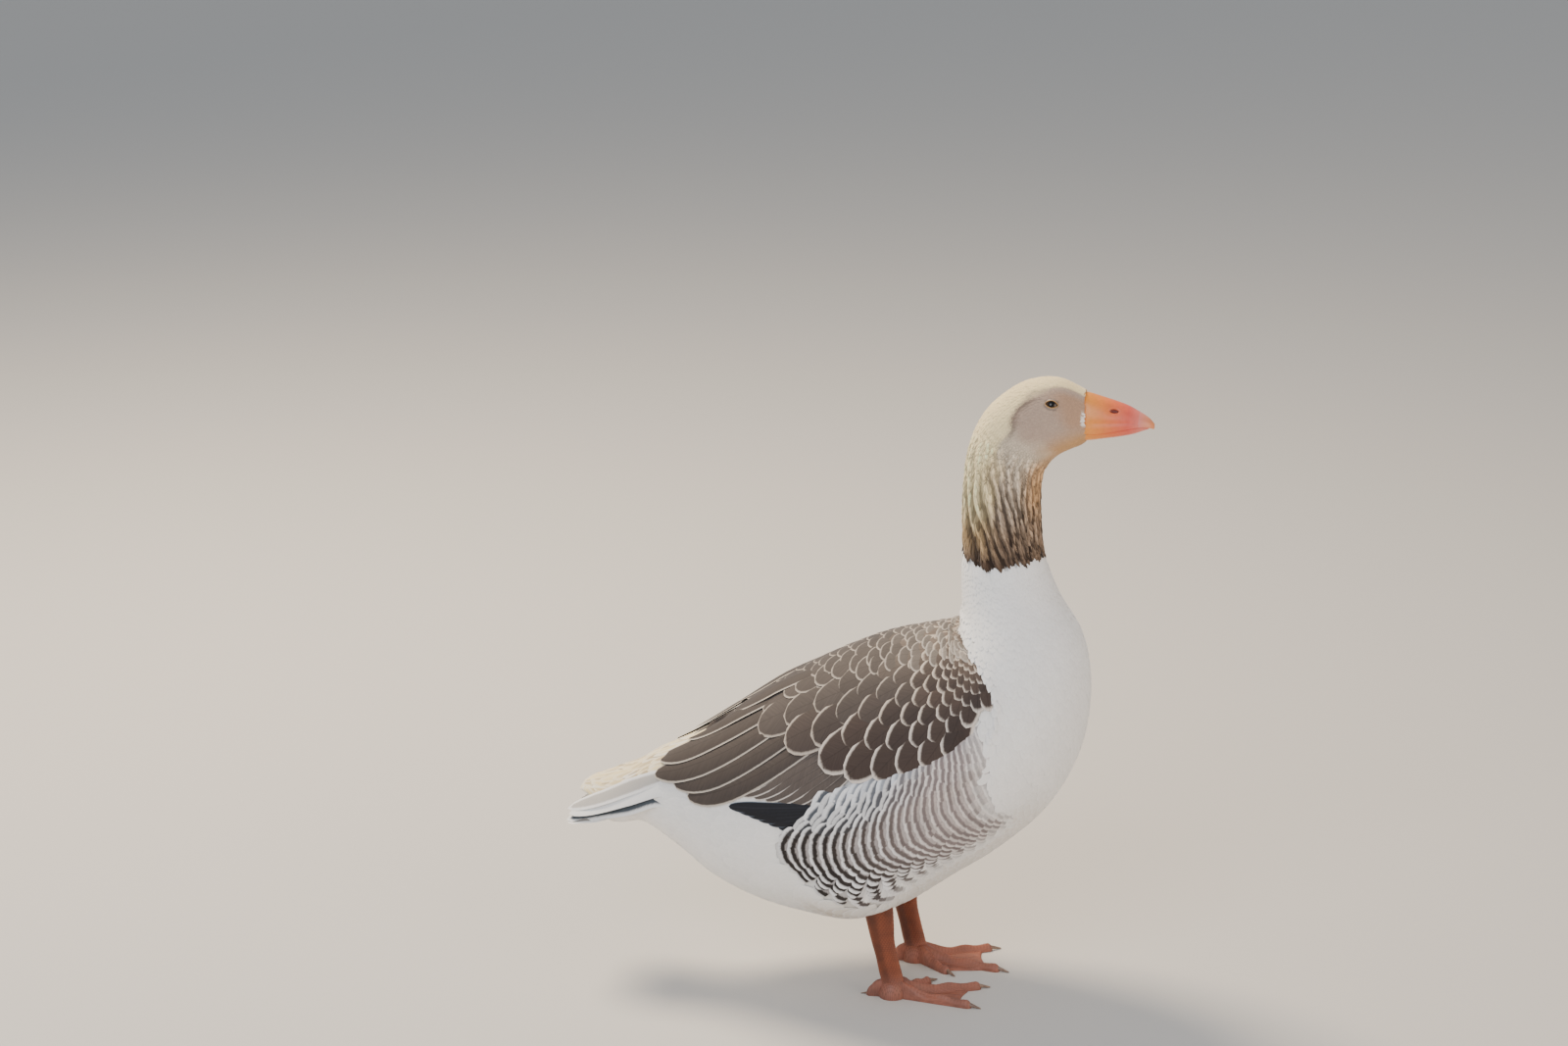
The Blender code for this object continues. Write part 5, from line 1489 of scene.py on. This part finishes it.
# Feet: the centre's x and y, where the middle toe points, and how far out the outer toe stands; then each
# toe's bearing from the middle one (towards the other foot) and its length, in degrees and millimetres.
feet = {"left": (56.0, 54.0, -11.0, 39.0), "right": (49.0, -50.0, 23.0, 34.0)}
toes = {"inner": (30.0, 54.0), "middle": (0.0, 94.0), "outer": (None, 86.0), "hind": (158.0, 27.0)}
foot = {"web": 2.2, "heel": 14.0, "toe": 4.6, "knuckleHeight": 18.15, "turns": 620, "rings": 60,
        "middle": 0.6, "webHeel": 4.0, "webHeelSpan": (14, 34), "webShort": 11, "webHollow": 6,
        "toeRidge": 10.5, "toeRidgeFall": 4.0, "toeWidth": 4.9, "jointRise": 0.12, "joints": 3.0,
        "jointFrom": 0.1, "shieldPitch": 3.6, "cell": 2.2, "foldRise": 0.45, "foldCount": 32,
        "rimHeight": 0.9, "claw": {"hind": 6.0, "inner": 10.0, "middle": 10.0, "outer": 10.0},
        "clawRoot": 4.5}


def scales(u, v, size):
    # rounded plates on a hexagonal lattice: 1 in the middle of each, 0 in the grooves between
    a = np.stack(np.broadcast_arrays(u / size, v / (size * math.sqrt(3))))
    best = np.inf
    for shift in (0.0, 0.5):
        off = a + shift - np.round(a + shift)
        best = np.minimum(best, np.hypot(off[0], off[1] * math.sqrt(3)))
    return 1 - ramp(best, 0.28, 0.56)


def addGrain(piece, grain):
    # how high each point stands in its scale, for the material, which paints shade in the low places; 1 at
    # the two ends of the tube
    addColours(piece, "grain", np.repeat(np.append(grain.ravel(), (1, 1))[:, None], 3, 1))


def makeShank(name, place, material):
    # ellipse rings up the leg; scales raise them by scaleRise * (scales(arc, height) - 1), and the shields in
    # front by scaleRise * (1.3 |sin|^0.4 - 1); behind them two hollows run beside the tendon
    fine = smoothCurve(leg["stations"][:, 0], leg["stations"],
                       np.linspace(leg["stations"][0, 0], leg["stations"][-1, 0], leg["rows"]))
    z, x, length, width = (fine[:, k, None] for k in range(4))
    p = np.linspace(0, 2 * math.pi, leg["columns"], endpoint=False)[None, :]
    arc = p * np.sqrt((length**2 + width**2) / 2).mean()
    turns = round(float(arc.max() / leg["scale"]))
    plates = scales(p / (2 * math.pi) * turns * leg["scale"], z + 0 * p, leg["scale"])
    rise = leg["scaleRise"] * plates - leg["scaleRise"]
    front = ramp(np.cos(p), 0.86, 0.95)
    waves = np.abs(np.sin(z / leg["shieldPitch"] * math.pi / leg["shieldRise"])) ** 0.4
    shield = leg["scaleRise"] * leg["shieldRise"] * waves - leg["scaleRise"]
    hollow = ((np.abs(np.degrees(p) - 180) - leg["tendonDegrees"]) / leg["tendonWidth"]) ** 2
    rise = rise * (1 - front) + shield * front - leg["tendonDepth"] * np.exp(-hollow)
    ring = np.stack([place[0] + x + (length + rise) * np.cos(p), place[1] + (width + rise) * np.sin(p),
                     z + 0 * p], -1)
    piece = closedTube(f"shank_skin_{name}", ring, False, material, (f"shank_{name}",))
    addGrain(piece, np.clip(rise / leg["scaleRise"] + 1, 0, 1))


def toeBearings(side, place):
    # bearing in degrees and length of the inner, middle, outer and hind toe
    spread = {name: -place[3] if name == "outer" else bearing for name, (bearing, _) in toes.items()}
    return [(place[2] - side * spread[name], length) for name, (_, length) in toes.items()]


def offToe(angle, bearing):
    # radians between each direction and a toe
    return np.radians(np.abs((angle - bearing + 180) % 360 - 180))


def footReach(angle, bearings):
    # the outline: the heel's circle, each toe as a strip with a round end, and webs hung between them
    reach = np.full(angle.shape, foot["heel"])
    for bearing, length in bearings:
        off = offToe(angle, bearing)
        centre = length - foot["toe"]
        aside = centre * np.sin(np.minimum(off, math.pi / 2))
        end = centre * np.cos(off) + np.sqrt(np.maximum(foot["toe"] ** 2 - aside**2, 0))
        strip = foot["toe"] / np.maximum(np.sin(np.minimum(off, math.pi / 2)), 1e-4)
        toe = np.where(aside < foot["toe"], end, np.minimum(strip, centre))
        reach = np.where(off < 1.4, np.maximum(reach, toe), reach)
    for pair in zip(bearings[:2], bearings[1:3]):
        # a straight edge from just behind one toe's end to the other's, drawn in between them
        (low, a), (high, b) = sorted(pair)
        share = np.clip((angle - low) / (high - low), 0, 1)
        edge = (a - foot["webShort"]) * (1 - share) + (b - foot["webShort"]) * share
        chord = math.cos(math.radians(high - low) / 2) / np.cos(np.radians((share - 0.5) * (high - low)))
        web = edge * (0.35 + 0.65 * chord) - foot["webHollow"] * np.sin(math.pi * share)
        reach = np.where((angle > low) & (angle < high), np.maximum(reach, web), reach)
    return reach


def footAngles(heading, bearings):
    # turns round the foot, closer together near each toe
    fine = heading + np.linspace(-180, 180, 3600, endpoint=False)
    weight = np.ones(len(fine))
    for bearing, _ in bearings:
        weight += 3.5 * np.exp(-((((fine - bearing + 180) % 360 - 180) / 6.0) ** 2))
    passed = np.concatenate([[0], np.cumsum(weight)])
    evenly = np.linspace(0, passed[-1], foot["turns"], endpoint=False)
    return np.interp(evenly, passed, np.append(fine, heading + 180))


def makeFoot(name, side, place, material):
    # polar grid from the foot's centre out to the outline; the height is the greatest of the webs and each
    # toe's ridge * exp(-(aside / width)^2), with shields across the toes, scales and folds on the webs, and
    # rounds down over its rim
    f = foot
    bearings = toeBearings(side, place)
    share = np.linspace(0, 1, f["rings"])[:, None] ** 0.9
    angle = footAngles(place[2], bearings)[None, :]
    reach = footReach(angle, bearings)
    radius = f["middle"] + (reach - f["middle"]) * share
    web = f["web"] + f["webHeel"] * (1 - ramp(radius, *f["webHeelSpan"]))
    height, onToe = web, np.zeros(radius.shape)
    for bearing, length in bearings:
        off = offToe(angle, bearing)
        aside = np.where(off < math.pi / 2, radius * np.sin(off), radius)
        joints = 1 + f["jointRise"] * np.cos(2 * math.pi * (f["joints"] * radius / length + f["jointFrom"]))
        ridge = (f["toeRidge"] - f["toeRidgeFall"] * radius / length) * joints
        profile = np.exp(-((aside / f["toeWidth"]) ** 2))
        height = np.maximum(height, web * 0.4 + ridge * profile)
        onToe = np.maximum(onToe, ramp(profile, 0.25, 0.7) * ramp(radius, 12, 20))
    x, y = radius * np.cos(np.radians(angle)), radius * np.sin(np.radians(angle))
    shields = np.abs(np.sin(radius * math.pi / f["shieldPitch"])) ** 0.45
    cells = scales(x, y, f["cell"])
    folds = f["foldRise"] * np.sin(np.radians(angle * f["foldCount"]) + radius * 0.06) * ramp(radius, 22, 50)
    texture = (0.5 * shields - 0.4) * onToe + (0.35 * cells - 0.25 + folds) * (1 - onToe)
    # the knuckle under the shank
    knuckle = ramp(radius, 30, 9)
    height = height * (1 - knuckle) + f["knuckleHeight"] * knuckle + texture * (1 - 0.6 * knuckle)
    roll = np.clip(1 - (1 - share) * reach / np.minimum(1.5 + height * 0.55, reach * 0.8), 0, 1)
    height = f["rimHeight"] + (np.maximum(height, 1.4) - f["rimHeight"]) * np.sqrt(1 - roll**2)
    top = np.stack([place[0] + x, place[1] + y, height], -1)
    under = np.concatenate([top[-1:], top[::-1][1::5]]) * (1, 1, 0)
    piece = closedTube(f"foot_skin_{name}", np.concatenate([top, under]), True, material,
                       (f"foot_{name}",))
    addGrain(piece, np.concatenate([cells * (1 - onToe) + shields * onToe, np.ones(under.shape[:2])]))


def makeClaw(toe, name, bearing, start, place, material):
    # a blunt cone along the bearing from inside the toe's tip; its radius falls as 1 - 0.72 v^1.6, and its
    # middle sinks towards the floor as (1 - v)^1.5
    length, root = foot["claw"][toe], foot["clawRoot"]
    v = np.linspace(0, 1, 22)[:, None]
    p = np.linspace(0, 2 * math.pi, 24, endpoint=False)[None, :]
    thick = 0.22 * length * (1 - 0.72 * v**1.6)
    along, across = start - root + (length + root) * v, thick * np.sin(p)
    z = 0.25 + thick * (1 + np.cos(p)) + 0.16 * length * (1 - v) ** 1.5
    turn = math.radians(bearing)
    ring = np.stack([place[0] + along * math.cos(turn) - across * math.sin(turn),
                     place[1] + along * math.sin(turn) + across * math.cos(turn), z + 0 * p], -1)
    closedTube(f"claw_horn_{toe}_{name}", ring, True, material, (f"claw_{toe}_{name}",))


legLook = {"shank": ("#8E4A2D", "#6B3826"), "web": ("#A3644F", "#845647"), "turnHeights": (0.008, 0.03),
           "blotch": 45.0, "cells": 900.0, "relief": 0.0004}


def legMaterial():
    # Legs and webs are tough, dry, scaly skin: the eye gets a dull gloss, orange-brown shanks and pinker webs
    # in soft blotches, painted shade darkening the grooves between the scales, and fine cells over them all.
    look = legLook
    material, tree, shader = newMaterial("legSkin", Roughness=0.5, IOR=1.45)
    place = addNode(tree, "TexCoord").outputs["Object"]
    z = addNode(tree, "SeparateXYZ", Vector=place).outputs["Z"]
    high = addNode(tree, "MapRange", interpolation_type="SMOOTHSTEP", Value=z,
                   From_Min=look["turnHeights"][0], From_Max=look["turnHeights"][1]).outputs[0]
    blotch = addNode(tree, "TexNoise", Vector=place, Scale=look["blotch"], Detail=4.0).outputs["Fac"]
    share = addNode(tree, "MapRange", Value=blotch, From_Min=0.35, From_Max=0.68).outputs[0]
    shank, web = (addNode(tree, "Mix", data_type="RGBA", Factor=share, i6=rgba(look[key][0]),
                          i7=rgba(look[key][1])).outputs[2] for key in ("shank", "web"))
    colour = addNode(tree, "Mix", data_type="RGBA", Factor=high, i6=web, i7=shank).outputs[2]
    # painted shade: the lower a point lies in its scale, the darker its colour
    grain = addNode(tree, "Attribute", attribute_name="grain").outputs["Fac"]
    groove = addNode(tree, "MapRange", Value=grain, To_Min=0.62, To_Max=1.05).outputs[0]
    cells = addNode(tree, "TexVoronoi", Vector=place, Scale=look["cells"]).outputs["Distance"]
    finishShader(tree, shader, shadedBy(tree, colour, groove), cells, 0.25, look["relief"])
    return material


scaly, clawHorn = legMaterial(), paleHorn("clawHorn", "#8A6E5B", "#5E4739")
for sideName, sideSign in sides:
    place = feet[sideName]
    makeShank(sideName, place, scaly)
    makeFoot(sideName, sideSign, place, scaly)
    for toe, (bearing, length) in zip(toes, toeBearings(sideSign, place)):
        makeClaw(toe, sideName, bearing, length, place, clawHorn)
print("legs and feet")

# Camera, floor and light: a warm sun behind and to the left, a large cool fill and a low front light.
view = {"place": (0.6375, -3.6153, 1.5018), "pitch": 74.562, "turn": 11.141, "lens": 86.625, "sensor": 36,
        "reach": 60}
studio = {"floor": 12, "floorColour": "#CFCBC4", "sky": (0.80, 0.86, 0.95, 1), "skyStrength": 0.55,
          "aim": (0, 0, 0.3), "lights": (
              # name, place, size in metres, power in watts, colour
              ("key", (-1.5, 1.1, 2.9), 1.3, 170, "#FFEBD0"), ("fill", (-0.6, -3.0, 2.0), 2.4, 62, "#EEF3FF"),
              ("front", (2.8, -1.2, 1.0), 2.0, 34, "#FFEAD4"))}


def placed(name, data):
    # an object of the scene that isn't a piece
    held = bpy.data.objects.new(name, data)
    bpy.context.scene.collection.objects.link(held)
    return held


def makeStudio():
    # the camera, the floor, an even sky, and a round lamp for each row of lights
    camera = placed("camera", bpy.data.cameras.new("camera"))
    camera.location = view["place"]
    camera.rotation_euler = (math.radians(view["pitch"]), 0, math.radians(view["turn"]))
    camera.data.lens, camera.data.sensor_width = view["lens"], view["sensor"]
    camera.data.clip_end = view["reach"]
    bpy.context.scene.camera = camera
    mesh = bpy.data.meshes.new("floor")
    w = studio["floor"]
    mesh.from_pydata([(-w, -w, 0), (w, -w, 0), (w, w, 0), (-w, w, 0)], [], [(0, 1, 2, 3)])
    floor = placed("floor", mesh)
    # a matt pale studio floor, so that the eye gets only the bird's shadow and a little bounced light
    material, _, shader = newMaterial("paleFloor", Roughness=0.9)
    shader.inputs["Base Color"].default_value = rgba(studio["floorColour"])
    mesh.materials.append(material)
    world = bpy.data.worlds.new("studio")
    bpy.context.scene.world = world
    world.use_nodes = True
    sky = world.node_tree.nodes["Background"]
    sky.inputs["Color"].default_value = studio["sky"]
    sky.inputs["Strength"].default_value = studio["skyStrength"]
    for name, place, size, power, tint in studio["lights"]:
        light = bpy.data.lights.new(name, "AREA")
        light.shape, light.size, light.energy, light.color = "DISK", size, power, tuple(hexLinear(tint))
        lamp = placed(name, light)
        lamp.location = place
        # a lamp shines down its own -z: tilt it by its angle from straight above, and turn it to face the aim
        x, y, z = np.array(place) - studio["aim"]
        lamp.rotation_euler = (math.atan2(math.hypot(x, y), z), 0, math.atan2(y, x) + math.pi / 2)


makeStudio()
print("studio")
